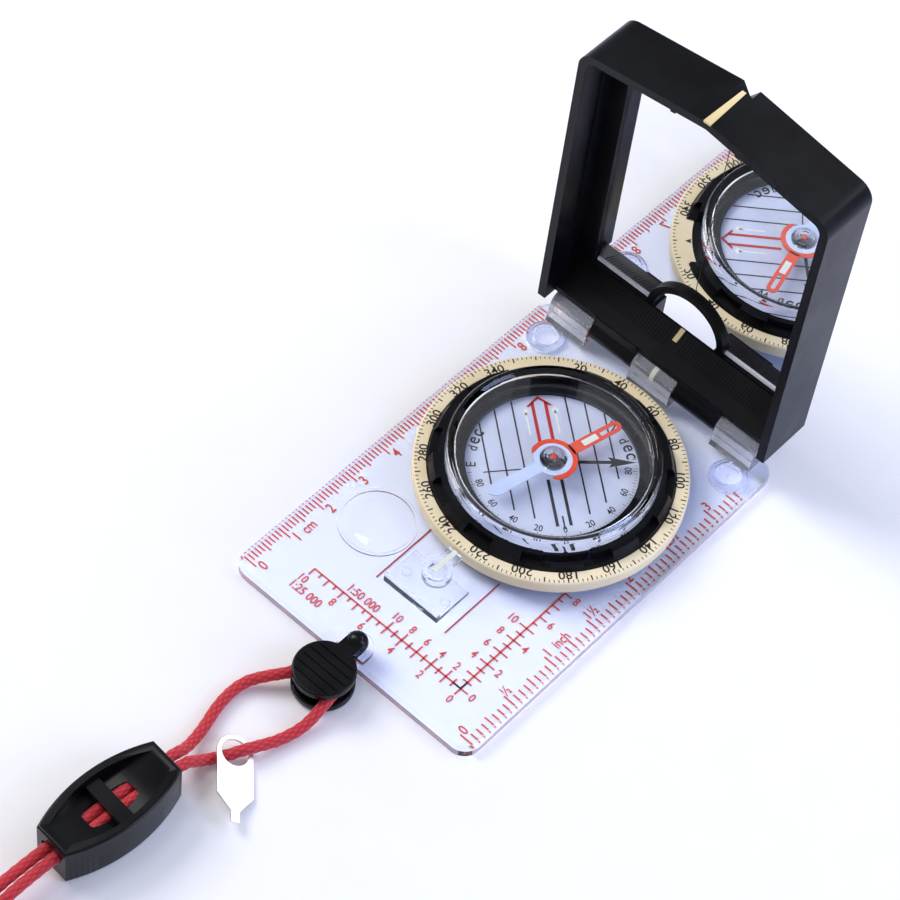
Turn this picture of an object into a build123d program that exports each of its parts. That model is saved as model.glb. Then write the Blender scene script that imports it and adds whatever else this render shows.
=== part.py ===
from build123d import *
import os
from math import asin, atan2, cos, degrees, pi, radians, sin, tan

# A mirror-sighting baseplate compass with its lanyard, lid standing open at a right angle.
# Millimetres. +X runs from the centimetre edge to the inch edge, +Y from the lanyard end to the
# hinge, and z = 0 is the surface that the plate lies on. Every piece is drawn with the dial's
# turning axis at x = y = 0. The last step moves them all along Y by frame_shift, which puts the
# origin under the middle of the compass, lid included.

bond = 0.1                        # overlap that fuses two features of one moulding

# ---- driving dimensions: baseplate ----
plate_width = 64.4
plate_front = 61.8                # dial axis to the lanyard end
plate_past_hinge = 1.6            # hinge axis to the hinge end
plate_thickness = 2.6
plate_corner_radius = 4.0
plate_edge_bevel = 0.8
lens_x = -17.7
lens_y = -33.6
lens_radius = 7.0
lens_height = 0.9
lens_ring_width = 0.7
pad_side_margin = 6.6             # pad's centre to the plate's side
pad_back_margin = 8.4             # pad's centre to the hinge end
pad_radius = 4.2                  # lower step of each grip pad
pad_neck_radius = 2.9             # upper step, flush with the top of the plate
pad_step = 1.1
slot_y = -59.0                    # centre of the lanyard slot's round end
slot_half_width = 2.05
slot_lip_width = 1.5
slot_lip_height = 1.2

# ---- driving dimensions: hinge ----
hinge_dial_gap = 2.9              # between the dial and the knuckles
hinge_lift = 4.3                  # hinge axis above the plate
hinge_pin_radius = 0.9
hinge_running_gap = 0.06          # radial, pin in the lid's barrels
knuckle_radius = 3.1
barrel_radius = 2.9
side_knuckle_inner = 17.7         # X where the side knuckles begin
side_knuckle_outer = 28.3         # X where they end
centre_knuckle_half = 5.5
knuckle_end_gap = 0.25            # between a knuckle and a barrel
knuckle_sweep_gap = 0.35          # between a knuckle and the lid that turns round it
knuckle_foot_reach = 0.9          # how far a knuckle's foot slopes out towards the dial
knuckle_foot_back = 1.4           # hinge axis to the back of the foot

# ---- driving dimensions: lid ----
lid_inset = 0.9                   # each side of the lid inside the plate's width
lid_rim_reach = 4.1               # hinge axis to the lid's open side, towards the dial
lid_depth = 14.0
lid_bottom_lift = 2.3             # hinge axis to the lid's lower end
lid_height = 76.3                 # lower end to the shoulders
lid_gable = 4.8                   # shoulders to the crest
lid_wall = 2.0
lid_back_wall = 1.6
lid_corner_radius = 4.2
mirror_thickness = 1.2
mirror_half_width = 25.1
mirror_clearance = 0.1
mirror_top_margin = 3.2           # lid's top wall to the mirror's top edge
ledge_rise = 1.1                  # the mirror's surround stands this far proud of the glass
sight_hole_half_width = 8.6
sight_hole_height = 8.6
arch_width = 1.8
sight_channel_inset = 0.6
sight_channel_skin = 0.4
bar_front_reach = 1.4             # hinge axis to the front of the sloping base bar
bar_foot_rise = 1.1               # lid's lower end to the bar's underside
bar_lip_rise = 2.5                # lid's lower end to the top of the bar's front lip
bar_top_rise = 7.8                # lid's lower end to the top of the bar
bar_mark_place = 0.72             # share of the slope below the cream mark's middle
bar_mark_length = 3.2
barrel_web_half = 1.8             # half the web that joins a barrel to the bar
notch_half_width = 3.0
notch_depth = 3.2
notch_length = 2.6
sight_line_front_width = 1.8
sight_line_back_width = 1.0
inlay_depth = 0.5

# ---- driving dimensions: dial and capsule ----
dial_radius = 29.0
dial_ring_width = 2.9
dial_ring_height = 3.1
dial_edge_bevel = 0.3
dial_north = 138.0                # degrees anticlockwise from +X, where north on the dial stands
north_tab_angle = 28.0
north_tab_depth = 1.8             # how far the north tab reaches in over the grip ring
north_tab_thickness = 1.2
grip_rise = 2.2                   # grip ring's crest above the dial ring
grip_slope_width = 1.2            # sloping outer side of the crest
grip_crest_width = 2.3
grip_flange_inset = 0.8           # edge of the flange inside the dial ring's edge
grip_flange_thickness = 0.8
grip_count = 12
grip_recess_angle = 15.0
grip_recess_depth = 1.6
grip_window_share = 0.8           # share of one recess pitch that the window at south takes
grip_window_drop = 1.6            # dial ring's top to the window's sill
dial_plate_gap = 0.5              # between the dial's flange and the plate
capsule_wall = 1.2
capsule_rise = 3.3                # capsule's top above the grip ring's crest
capsule_rim_height = 0.7
capsule_rim_width = 1.9
capsule_lid_thickness = 1.1
capsule_edge_radius = 0.6
capsule_floor_z = 0.9
capsule_floor_thickness = 1.2
capsule_base_wall = 0.8           # base's own rim above its floor, which the cover stands on
capsule_collar = 0.7              # thickness of the collar inside the seal
seal_width = 0.7
seal_height = 1.0
dial_hole_gap = 0.6               # between the capsule and the plate's hole
retainer_overlap = 1.2            # how far the retainer reaches past the plate's hole
retainer_thickness = 0.6
retainer_width = 4.8
retainer_clearance = 0.3

# ---- driving dimensions: declination drive ----
gear_module = 0.4
pinion_teeth = 11
tooth_backlash = 0.2              # taken off each tooth's thickness
gear_floor_gap = 0.2              # between the gears and the capsule's floor
gear_thickness = 1.4
declination_ring_gap = 0.3        # between the declination ring and the collar
declination_ring_width = 1.4
declination_ring_height = 3.7
orienting_disc_thickness = 0.6
orienting_disc_bore_gap = 0.4     # between the disc and the pivot's foot
pinion_shaft_radius = 1.3
shaft_running_gap = 0.05
key_slot_width = 0.7
key_slot_depth = 0.6

# ---- driving dimensions: needle and clinometer ----
pivot_radius = 0.5
pivot_tip_rise = 1.3              # tip above the needle's underside
pivot_foot_radius = 1.2
pivot_sink = 0.7                  # shank below the top of the capsule's floor
pointer_lift = 2.3                # pointer above the orienting disc
pointer_seat_gap = 0.3
pointer_thickness = 0.3
pointer_hub_radius = 1.9
pointer_bore_gap = 0.06
pointer_tip_gap = 1.0             # pointer's tip to the orienting disc's edge
pointer_direction = 45.0
pointer_stem_half = 0.35
pointer_head_length = 5.6
pointer_head_half = 1.25
pointer_head_notch = 0.9
needle_lift = 1.4                 # needle above the clinometer pointer
needle_thickness = 0.4
needle_direction = 77.0
needle_tip_gap = 0.9              # needle's tip to the orienting disc's edge
needle_arm_width = 2.7
needle_tail_gap = 1.7             # needle's tail to the orienting disc's edge
needle_tail_half = 1.6
needle_tail_root_half = 1.3
needle_tail_point = 1.5
needle_ring_inner = 4.1
needle_ring_outer = 5.1
needle_ring_angle = 250.0
needle_cap_radius = 2.9
needle_cap_height = 2.3
needle_cap_edge_radius = 0.8
needle_bore_radius = 0.75
needle_bore_end_gap = 0.05        # pivot's tip to the end of the bearing hole
magnet_skin = 0.1                 # of the cap, round the magnets
magnet_thickness = 0.6
magnet_width = 1.0
magnet_length = 2.0

# ---- driving dimensions: index bracket ----
bracket_half_width = 7.3
bracket_front = -43.2
bracket_back = -33.4
bracket_thickness = 1.2
bracket_rim = 0.9
boss_radius = 3.2
boss_wall = 1.1
boss_roof = 1.3
boss_y = -35.2
index_arm_half_width = 1.7
index_arm_gap = 0.7               # between the arm's end and the dial
index_arm_thickness = 1.6
index_arm_drop = 0.2              # arm's top below the dial ring's top
bracket_peg_radius = 1.0
bracket_peg_depth = 1.4
bracket_peg_margin = 2.0
index_line_half_width = 0.55

# ---- driving dimensions: lanyard clip ----
clip_y = -68.5
clip_radius = 6.5
clip_bottom = 0.2
clip_disc_thickness = 1.7
clip_upper_thickness = 1.8
clip_seat_gap = 0.8               # between the slot's lip and the clip's neck
clip_post_radius = 2.0
clip_rib_count = 5
clip_rib_pitch = 1.9
clip_rib_height = 0.35
clip_rib_half_width = 0.3
clip_rib_margin = 1.0
clip_edge_radius = 0.4
clip_neck_half_width = 2.0
clip_neck_root = 3.0              # disc's centre to where the neck begins
clip_ball_radius = 2.35
clip_ball_lift = 0.6
clip_ball_drop = 0.4
clip_stud_gap = 0.15
clip_peg_radius = 1.0
clip_peg_length = 1.0

# ---- driving dimensions: lanyard cord, slider, key tag ----
cord_diameter = 2.5
cord_clearance = 0.3
slider_x = -7.4
slider_y = -120.0
slider_length = 28.6
slider_half_width = 7.3
slider_end_half_width = 4.2
slider_height = 10.4
slider_heading = 4.6              # degrees, the slider's length from +Y towards +X
slider_channel_z = 6.2
strand_spacing = 2.6
dish_depth = 3.3
dish_margin = 1.6
bridge_half_length = 1.6
bridge_rise = 1.9                 # bridge above the bottom of the dish
slider_edge_radius = 0.5
tag_hole_x = -0.6
tag_hole_y = -92.9
tag_heading = -45.4               # degrees from +X, hole to tip
tag_tilt = 25.0
tag_lift = 2.15                   # height of the hole's centre
tag_half_width = 3.9
tag_thickness = 0.6
tag_hole_radius = 2.9
tag_head = 4.2                    # hole centre to rounded head
tag_shoulder = 9.6                # hole centre to the shoulders
tag_neck = 13.0                   # hole centre to the start of the blade
tag_tip = 15.4
tag_tip_half_width = 0.95
coil_x = -16.5
coil_y = -177.0
coil_inner_radius = 10.3
coil_outer_radius = 17.9
coil_height = 7.4
tie_width = 5.0
tie_thickness = 0.5

# ---- sizes that follow from those above ----
dial_ring_inner = dial_radius - dial_ring_width
grip_crest_radius = dial_ring_inner - grip_slope_width
grip_flange_radius = dial_radius - grip_flange_inset
north_tab_inner = dial_ring_inner - north_tab_depth
capsule_radius = grip_crest_radius - grip_crest_width
dial_hole_radius = capsule_radius + dial_hole_gap
dial_ring_bottom = plate_thickness + dial_plate_gap + grip_flange_thickness
dial_ring_top = dial_ring_bottom + dial_ring_height
grip_top = dial_ring_top + grip_rise
capsule_top = grip_top + capsule_rise
capsule_floor_top = capsule_floor_z + capsule_floor_thickness
capsule_joint_z = capsule_floor_top + capsule_base_wall
collar_outer = capsule_radius - capsule_wall - seal_width
collar_inner = collar_outer - capsule_collar
retainer_radius = dial_hole_radius + retainer_overlap
hinge_y = dial_radius + hinge_dial_gap + knuckle_radius
hinge_z = plate_thickness + hinge_lift
plate_back = hinge_y + plate_past_hinge
pad_x = plate_width / 2 - pad_side_margin
pad_y = plate_back - pad_back_margin
lid_width = plate_width - 2 * lid_inset
lid_rim_y = hinge_y - lid_rim_reach
lid_back_y = lid_rim_y + lid_depth
lid_bottom_z = hinge_z + lid_bottom_lift
lid_shoulder_z = lid_bottom_z + lid_height
lid_peak_z = lid_shoulder_z + lid_gable
bar_front_y = hinge_y - bar_front_reach
bar_lip_z = lid_bottom_z + bar_lip_rise
bar_top_z = lid_bottom_z + bar_top_rise
frame_shift = (plate_front - lid_back_y) / 2
mirror_back_y = lid_back_y - lid_back_wall
mirror_front_y = mirror_back_y - mirror_thickness
ledge_front_y = mirror_front_y - ledge_rise
lid_half = lid_width / 2
inner_half = lid_half - lid_wall
roof_slope = (lid_peak_z - lid_shoulder_z) / lid_half
barrel_inner = centre_knuckle_half + knuckle_end_gap
barrel_outer = side_knuckle_inner - knuckle_end_gap
gear_z = capsule_floor_top + gear_floor_gap
ring_gear_outer = collar_inner - declination_ring_gap
ring_gear_top = gear_z + declination_ring_height
orienting_disc_radius = ring_gear_outer - declination_ring_width
orienting_disc_top = gear_z + gear_thickness + orienting_disc_thickness
ring_teeth = round(2 * orienting_disc_radius / gear_module - 3.5)
ring_pitch_radius = gear_module * ring_teeth / 2
pinion_pitch_radius = gear_module * pinion_teeth / 2
pinion_offset = ring_pitch_radius - pinion_pitch_radius
pinion_angle = dial_north + 180
pointer_z = orienting_disc_top + pointer_lift
pointer_length = orienting_disc_radius - pointer_tip_gap
needle_z = pointer_z + needle_lift
needle_tip_radius = orienting_disc_radius - needle_tip_gap
needle_tail_radius = orienting_disc_radius - needle_tail_gap
pivot_tip_z = needle_z + pivot_tip_rise
index_arm_end = -dial_radius - index_arm_gap
index_arm_top = dial_ring_top - index_arm_drop
index_arm_bottom = index_arm_top - index_arm_thickness
clip_lower_top = clip_bottom + clip_disc_thickness
clip_upper_bottom = plate_thickness + slot_lip_height + clip_seat_gap
clip_upper_top = clip_upper_bottom + clip_upper_thickness


def box_between(x0, x1, y0, y1, z0, z1):
    """A block given by its lowest and highest corners."""
    size = Box(x1 - x0, y1 - y0, z1 - z0)
    return Pos((x0 + x1) / 2, (y0 + y1) / 2, (z0 + z1) / 2) * size


def disc(radius, z0, z1, x=0.0, y=0.0):
    """An upright cylinder from z0 to z1."""
    return Pos(x, y, (z0 + z1) / 2) * Cylinder(radius, z1 - z0)


def annulus(outer, inner, z0, z1):
    """A flat ring round the dial axis."""
    return disc(outer, z0, z1) - disc(inner, z0 - 1, z1 + 1)


def rod_x(radius, x0, x1, y, z):
    """A cylinder lying along X."""
    return Pos((x0 + x1) / 2, y, z) * Rot(0, 90, 0) * Cylinder(radius, x1 - x0)


def prism_x(points_yz, x0, x1):
    """A polygon drawn in the YZ plane, carried along X from x0 to x1."""
    face = Plane.YZ * make_face(Polyline(*points_yz, close=True))
    return Pos(x0, 0, 0) * extrude(face, x1 - x0)


def prism_y(points_xz, y0, y1):
    """A polygon drawn in the XZ plane, carried along Y from y0 to y1."""
    face = Plane.XZ * make_face(Polyline(*points_xz, close=True))
    return Pos(0, y1, 0) * extrude(face, y1 - y0)


def sector(inner, outer, middle, width, z0, z1):
    """A piece of ring that spans the angle width, in degrees, about the angle middle."""
    reach = 1.2 * outer / cos(radians(min(width, 150) / 2))
    start = radians(middle - width / 2)
    end = radians(middle + width / 2)
    corners = [(0, 0), (reach * cos(start), reach * sin(start)), (reach * cos(end), reach * sin(end))]
    wedge = Pos(0, 0, z0) * extrude(make_face(Polyline(*corners, close=True)), z1 - z0)
    return (disc(outer, z0, z1) - disc(inner, z0 - 1, z1 + 1)) & wedge


def roof_z(x, drop=0.0):
    """Height of the lid's gabled top at x, less drop."""
    return lid_peak_z - roof_slope * abs(x) - drop


# ---- baseplate and what is fixed to it ----
def knuckle(x0, x1):
    """A clear hinge knuckle: a round eye on a foot that slopes down to the plate."""
    eye = rod_x(knuckle_radius, x0, x1, hinge_y, hinge_z)
    face_y = hinge_y - knuckle_radius
    foot_back = hinge_y + knuckle_foot_back
    foot_z = plate_thickness - bond
    foot = prism_x([(face_y, hinge_z), (face_y - knuckle_foot_reach, foot_z), (foot_back, foot_z),
                    (foot_back, hinge_z)], x0, x1)
    return eye + foot


def knuckle_spans():
    """The X spans of the three knuckles."""
    return [(-side_knuckle_outer, -side_knuckle_inner), (-centre_knuckle_half, centre_knuckle_half),
            (side_knuckle_inner, side_knuckle_outer)]


def knuckle_inlay():
    """The luminous bar let into the front of the centre knuckle, round the hinge axis."""
    half = index_line_half_width
    bar = rod_x(knuckle_radius, -half, half, hinge_y, hinge_z)
    core = rod_x(knuckle_radius - inlay_depth, -2 * half, 2 * half, hinge_y, hinge_z)
    front = box_between(-2 * half, 2 * half, hinge_y - 2 * knuckle_radius, hinge_y - 0.6,
                        hinge_z, hinge_z + 2 * knuckle_radius)
    return (bar - core) & front


def slot_outline(half_width, z0, z1):
    """The lanyard slot, open at the front edge, with a round end."""
    round_end = disc(half_width, z0, z1, 0, slot_y)
    return round_end + box_between(-half_width, half_width, -plate_front - 5, slot_y, z0, z1)


def pad_places():
    """Centres of the two grip pads."""
    return [(-pad_x, pad_y), (pad_x, pad_y)]


def stepped_pad(x, y):
    """A grip pad with a wide foot, so that it can't fall out upwards."""
    return disc(pad_radius, 0, pad_step, x, y) + disc(pad_neck_radius, pad_step, plate_thickness, x, y)


def lens_dome():
    """A low spherical cap, with a thin raised ring round it."""
    sphere_radius = (lens_radius ** 2 + lens_height ** 2) / (2 * lens_height)
    ball = Pos(lens_x, lens_y, plate_thickness + lens_height - sphere_radius) * Sphere(sphere_radius)
    sink = plate_thickness - 3 * bond
    dome = ball & disc(lens_radius + 1, sink, plate_thickness + lens_height + 1, lens_x, lens_y)
    ring_outer = lens_radius + 2 * lens_ring_width
    ring = disc(ring_outer, sink, plate_thickness + lens_ring_width / 2, lens_x, lens_y)
    ring -= disc(ring_outer - lens_ring_width, plate_thickness - 1, plate_thickness + 1, lens_x, lens_y)
    return dome + ring


def bracket_pegs(z0, z1):
    """The two pegs that locate the index bracket in the plate."""
    reach = bracket_half_width - bracket_peg_margin
    pegs = [disc(bracket_peg_radius, z0, z1, x, (bracket_front + bracket_back) / 2) for x in (-reach, reach)]
    return pegs[0] + pegs[1]


def make_baseplate():
    """Clear plate with the dial's hole, the lanyard slot, the lens and the hinge knuckles."""
    middle_y = (plate_back - plate_front) / 2
    outline = Pos(0, middle_y) * Rectangle(plate_width, plate_front + plate_back)
    outline = fillet(outline.vertices(), plate_corner_radius)
    plate = extrude(outline, plate_thickness)
    plate = chamfer(plate.faces().sort_by(Axis.Z)[-1].edges(), plate_edge_bevel)
    plate -= disc(dial_hole_radius, -1, plate_thickness + 1)
    plate -= disc(retainer_radius + dial_hole_gap, -1, capsule_floor_z + retainer_clearance)
    lip_half = slot_half_width + slot_lip_width
    lip = slot_outline(lip_half, plate_thickness - bond, plate_thickness + slot_lip_height)
    lip &= box_between(-lip_half, lip_half, -plate_front + plate_edge_bevel, slot_y + lip_half, 0, hinge_z)
    plate += lip
    plate -= slot_outline(slot_half_width, -1, plate_thickness + slot_lip_height + 1)
    plate += lens_dome()
    for x0, x1 in knuckle_spans():
        plate += knuckle(x0, x1)
    plate -= rod_x(hinge_pin_radius, -side_knuckle_outer - 1, side_knuckle_outer + 1, hinge_y, hinge_z)
    plate -= knuckle_inlay()
    for x, y in pad_places():
        plate -= stepped_pad(x, y)
    return plate - bracket_pegs(plate_thickness - bracket_peg_depth, plate_thickness + 1)


def make_grip_pads():
    """Both grip pads, as two separate solids."""
    return Compound([stepped_pad(x, y) for x, y in pad_places()])


def index_inlay():
    """The luminous line let into the top of the index arm."""
    return box_between(-index_line_half_width, index_line_half_width, boss_y - 1.2, index_arm_end,
                       index_arm_top - inlay_depth, index_arm_top)


def make_index_bracket():
    """Clear bracket on the plate, with a boss whose arm carries the index line to the dial."""
    base = box_between(-bracket_half_width, bracket_half_width, bracket_front, bracket_back,
                       plate_thickness, plate_thickness + bracket_thickness)
    upstand = box_between(-bracket_half_width, bracket_half_width, bracket_front, bracket_front + bracket_rim,
                          plate_thickness, plate_thickness + 2 * bracket_thickness)
    boss = disc(boss_radius, plate_thickness, index_arm_top, 0, boss_y)
    arm = box_between(-index_arm_half_width, index_arm_half_width, boss_y, index_arm_end,
                      index_arm_bottom, index_arm_top)
    pegs = bracket_pegs(plate_thickness - bracket_peg_depth, plate_thickness + bond)
    bracket = base + upstand + boss + arm + pegs
    bracket -= disc(boss_radius - boss_wall, plate_thickness + bracket_thickness, index_arm_top - boss_roof,
                    0, boss_y)
    return bracket - index_inlay()


def make_hinge_pin():
    """Steel pin, tight in the knuckles and free in the lid's barrels."""
    return rod_x(hinge_pin_radius, -side_knuckle_outer, side_knuckle_outer, hinge_y, hinge_z)


# ---- lid ----
def lid_profile(inset):
    """The lid's outline seen from the front, pulled in by inset on its sides and top."""
    half = lid_half - inset
    return [(-half, lid_bottom_z), (-half, roof_z(half, inset)), (0, roof_z(0, inset)),
            (half, roof_z(half, inset)), (half, lid_bottom_z)]


def top_corners(solid, half):
    """The two upright-corner edges where the side walls meet the gabled top."""
    return [edge for edge in solid.edges().filter_by(Axis.Y)
            if abs(abs(edge.center().X) - half) < 0.01 and edge.center().Z > lid_shoulder_z - 10]


def lid_block(inset, y0, y1, corner):
    """The lid's outline, pulled in by inset, as a block with rounded top corners."""
    block = prism_y(lid_profile(inset), y0, y1)
    return fillet(top_corners(block, lid_half - inset), corner)


def arch_prism(half_width, height, y0, y1):
    """A half-elliptical opening, or its surround, standing on the base bar."""
    ellipse = Plane.XZ * Ellipse(half_width, height)
    block = Pos(0, y1, bar_top_z) * extrude(ellipse, y1 - y0)
    return block & box_between(-half_width, half_width, y0, y1, bar_top_z, bar_top_z + height)


def mirror_outline(gap, y0, y1):
    """The mirror's shape, larger by gap all round."""
    half = mirror_half_width + gap
    top = lid_wall + mirror_top_margin - gap
    points = [(-half, bar_top_z - gap), (-half, roof_z(half, top)), (0, roof_z(0, top)),
              (half, roof_z(half, top)), (half, bar_top_z - gap)]
    return prism_y(points, y0, y1)


def slope_inlay():
    """The cream mark let into the slope of the base bar."""
    run = mirror_front_y - bar_front_y
    rise = bar_top_z - bar_lip_z
    middle = Pos(0, bar_front_y + bar_mark_place * run, bar_lip_z + bar_mark_place * rise)
    mark = Box(2 * index_line_half_width, bar_mark_length, 2 * inlay_depth)
    return middle * Rot(degrees(atan2(rise, run)), 0, 0) * mark


def base_bar():
    """The bar between the side walls: front lip, slope up to the mirror, seat for the barrels."""
    foot_z = lid_bottom_z + bar_foot_rise
    bar = prism_x([(bar_front_y, foot_z), (bar_front_y, bar_lip_z), (mirror_front_y, bar_top_z),
                   (lid_back_y, bar_top_z), (lid_back_y, foot_z)], -inner_half - bond, inner_half + bond)
    for side in (-1, 1):
        x0, x1 = sorted((side * barrel_inner, side * barrel_outer))
        bar += rod_x(barrel_radius, x0, x1, hinge_y, hinge_z)
        bar += box_between(x0, x1, hinge_y - barrel_web_half, hinge_y + barrel_radius, hinge_z, bar_lip_z)
    return bar


def roof_inlay():
    """The tapered sight line along the crest of the lid's top wall."""
    front = sight_line_front_width / 2
    back = sight_line_back_width / 2
    y1 = lid_back_y - notch_length
    points = [(-front, lid_rim_y), (front, lid_rim_y), (back, y1), (-back, y1)]
    line = extrude(make_face(Polyline(*points, close=True)), inlay_depth)
    return Pos(0, 0, lid_peak_z - inlay_depth) * line


def sight_channel():
    """The slope that opens the sighting hole downwards through the bar, towards the back."""
    half = sight_hole_half_width - sight_channel_inset
    top = bar_top_z + bond
    foot = lid_bottom_z + bar_foot_rise + sight_channel_skin
    return prism_x([(ledge_front_y, top), (lid_back_y + 1, top), (lid_back_y + 1, foot),
                    (lid_back_y - sight_channel_skin, foot)], -half, half)


def make_lid_frame():
    """Black lid: walls, gabled top, mirror's surround, base bar and hinge barrels."""
    outer = lid_block(0, lid_rim_y, lid_back_y, lid_corner_radius)
    hollow = lid_block(lid_wall, lid_rim_y - 1, mirror_back_y, lid_corner_radius - lid_wall)
    surround = lid_block(lid_wall - bond, ledge_front_y, mirror_back_y, lid_corner_radius - lid_wall)
    surround -= mirror_outline(mirror_clearance, 0, mirror_back_y + 1)
    frame = outer - hollow
    frame += surround
    frame += base_bar()
    frame += arch_prism(sight_hole_half_width + arch_width, sight_hole_height + arch_width,
                        ledge_front_y, mirror_back_y + bond)
    frame -= arch_prism(sight_hole_half_width, sight_hole_height, ledge_front_y - 1, lid_back_y + 1)
    frame -= sight_channel()
    for x0, x1 in knuckle_spans():
        frame -= rod_x(knuckle_radius + knuckle_sweep_gap, x0 - knuckle_end_gap, x1 + knuckle_end_gap,
                       hinge_y, hinge_z)
    frame -= rod_x(hinge_pin_radius + hinge_running_gap, -lid_half, lid_half, hinge_y, hinge_z)
    notch = [(-notch_half_width, lid_peak_z + 1), (notch_half_width, lid_peak_z + 1),
             (0, lid_peak_z - notch_depth)]
    frame -= prism_y(notch, lid_back_y - notch_length, lid_back_y + 1)
    return frame - roof_inlay() - slope_inlay()


def make_mirror():
    """Mirror glass, cut out round the sighting hole."""
    glass = mirror_outline(0, mirror_front_y, mirror_back_y)
    return glass - arch_prism(sight_hole_half_width + arch_width + mirror_clearance,
                              sight_hole_height + arch_width + mirror_clearance, 0, lid_back_y)


# ---- dial ring, grip ring, capsule ----
def north_tab():
    """The ivory tab that carries the north mark in over the grip ring."""
    return sector(north_tab_inner, dial_ring_inner + bond, dial_north, north_tab_angle,
                  dial_ring_top - north_tab_thickness, dial_ring_top)


def make_dial_ring():
    """Ivory ring that carries the degree scale."""
    ring = annulus(dial_radius, dial_ring_inner, dial_ring_bottom, dial_ring_top)
    ring = chamfer(ring.faces().sort_by(Axis.Z)[-1].edges().sort_by(SortBy.RADIUS)[-1],
                   dial_edge_bevel)
    return ring + north_tab()


def make_grip_ring():
    """Black ring that the fingers turn: a flange under the dial ring and a scalloped crest."""
    flange_bottom = plate_thickness + dial_plate_gap
    points = [(capsule_radius, flange_bottom), (grip_flange_radius, flange_bottom),
              (grip_flange_radius, dial_ring_bottom), (dial_ring_inner, dial_ring_bottom),
              (dial_ring_inner, dial_ring_top - 2 * bond), (grip_crest_radius, grip_top),
              (capsule_radius, grip_top)]
    ring = revolve(Plane.XZ * make_face(Polyline(*points, close=True)), Axis.Z)
    pitch = 360 / grip_count
    for index in range(grip_count):
        angle = dial_north + pitch * (index + 0.5)
        ring -= sector(capsule_radius + capsule_wall, dial_radius, angle, grip_recess_angle,
                       grip_top - grip_recess_depth, grip_top + 1)
    ring -= sector(capsule_radius - 1, grip_crest_radius + grip_slope_width / 3, dial_north + 180,
                   pitch * grip_window_share, dial_ring_top - grip_window_drop, grip_top + 1)
    ring -= sector(capsule_radius - 1, dial_ring_inner + 1, dial_north, north_tab_angle,
                   dial_ring_top, grip_top + 1)
    return ring - north_tab()


def make_capsule_cover():
    """Clear top of the capsule: a wall, a roof and a raised bead round the roof."""
    roof = capsule_top - capsule_rim_height
    cover = disc(capsule_radius, capsule_joint_z, capsule_top)
    cover = fillet(cover.faces().sort_by(Axis.Z)[-1].edges(), capsule_edge_radius)
    cover -= disc(capsule_radius - capsule_wall, capsule_joint_z - 1, roof - capsule_lid_thickness)
    return cover - disc(capsule_radius - capsule_rim_width, roof, capsule_top + 1)


def make_capsule_base():
    """Clear floor of the capsule, with a collar that the seal sits round."""
    base = disc(capsule_radius, capsule_floor_z, capsule_joint_z)
    base += disc(collar_outer, capsule_joint_z, capsule_joint_z + seal_height)
    base -= disc(collar_inner, capsule_floor_top, capsule_joint_z + seal_height + 1)
    base -= Rot(0, 0, pinion_angle) * disc(pinion_shaft_radius + shaft_running_gap, 0, capsule_joint_z,
                                           pinion_offset, 0)
    return base - disc(pivot_radius, capsule_floor_top - pivot_sink, capsule_joint_z)


def make_capsule_seal():
    """Rubber ring between the base's collar and the cover's wall."""
    return annulus(collar_outer + seal_width, collar_outer, capsule_joint_z, capsule_joint_z + seal_height)


def make_retainer_ring():
    """Ring under the capsule that keeps the dial in the plate."""
    return annulus(retainer_radius, retainer_radius - retainer_width, capsule_floor_z - retainer_thickness,
                   capsule_floor_z)


# ---- declination drive ----
def toothed_outline(teeth, root, tip, root_half, tip_half):
    """A closed outline of straight-flanked teeth between the radii root and tip."""
    points = []
    for index in range(teeth):
        centre = 2 * pi * index / teeth
        for radius, half in ((root, -root_half), (tip, -tip_half), (tip, tip_half), (root, root_half)):
            angle = centre + half / radius
            points.append((radius * cos(angle), radius * sin(angle)))
    return make_face(Polyline(*points, close=True))


def tooth_half(scale):
    """Half the thickness of a tooth, scale being 1 on the pitch circle."""
    return (pi * gear_module / 2 - tooth_backlash) / 2 * scale


def space_half(scale):
    """Half the space between two teeth whose half thickness is tooth_half(scale)."""
    return pi * gear_module / 2 - tooth_half(scale)


def make_declination_ring():
    """Black ring with inward teeth under the orienting disc."""
    ring = annulus(ring_gear_outer, orienting_disc_radius, gear_z, ring_gear_top)
    band = annulus(orienting_disc_radius + bond, ring_pitch_radius - gear_module,
                   gear_z, gear_z + gear_thickness)
    spaces = toothed_outline(ring_teeth, ring_pitch_radius - 1.2 * gear_module,
                             ring_pitch_radius + 1.2 * gear_module, space_half(0.5), space_half(1.5))
    cutter = Pos(0, 0, gear_z - 1) * extrude(spaces, gear_thickness + 2)
    cutter += disc(ring_pitch_radius - gear_module, gear_z - 1, gear_z + gear_thickness + 1)
    teeth = band - cutter
    return Rot(0, 0, pinion_angle) * (ring + teeth)


def make_declination_pinion():
    """Pinion whose slotted shaft comes out under the capsule, for the key's tip."""
    gear = toothed_outline(pinion_teeth, pinion_pitch_radius - 1.15 * gear_module,
                           pinion_pitch_radius + 0.85 * gear_module, tooth_half(1.4), tooth_half(0.5))
    pinion = Pos(0, 0, gear_z) * extrude(gear, gear_thickness)
    pinion += disc(pinion_shaft_radius, capsule_floor_z, gear_z)
    slot_reach = pinion_shaft_radius * 2
    pinion -= box_between(-slot_reach, slot_reach, -key_slot_width / 2, key_slot_width / 2,
                          capsule_floor_z - 1, capsule_floor_z + key_slot_depth)
    return Rot(0, 0, pinion_angle) * Pos(pinion_offset, 0, 0) * pinion


def make_orienting_disc():
    """Disc with the meridian lines, held inside the declination ring."""
    return annulus(orienting_disc_radius, pivot_foot_radius + orienting_disc_bore_gap,
                   gear_z + gear_thickness, orienting_disc_top)


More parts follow.
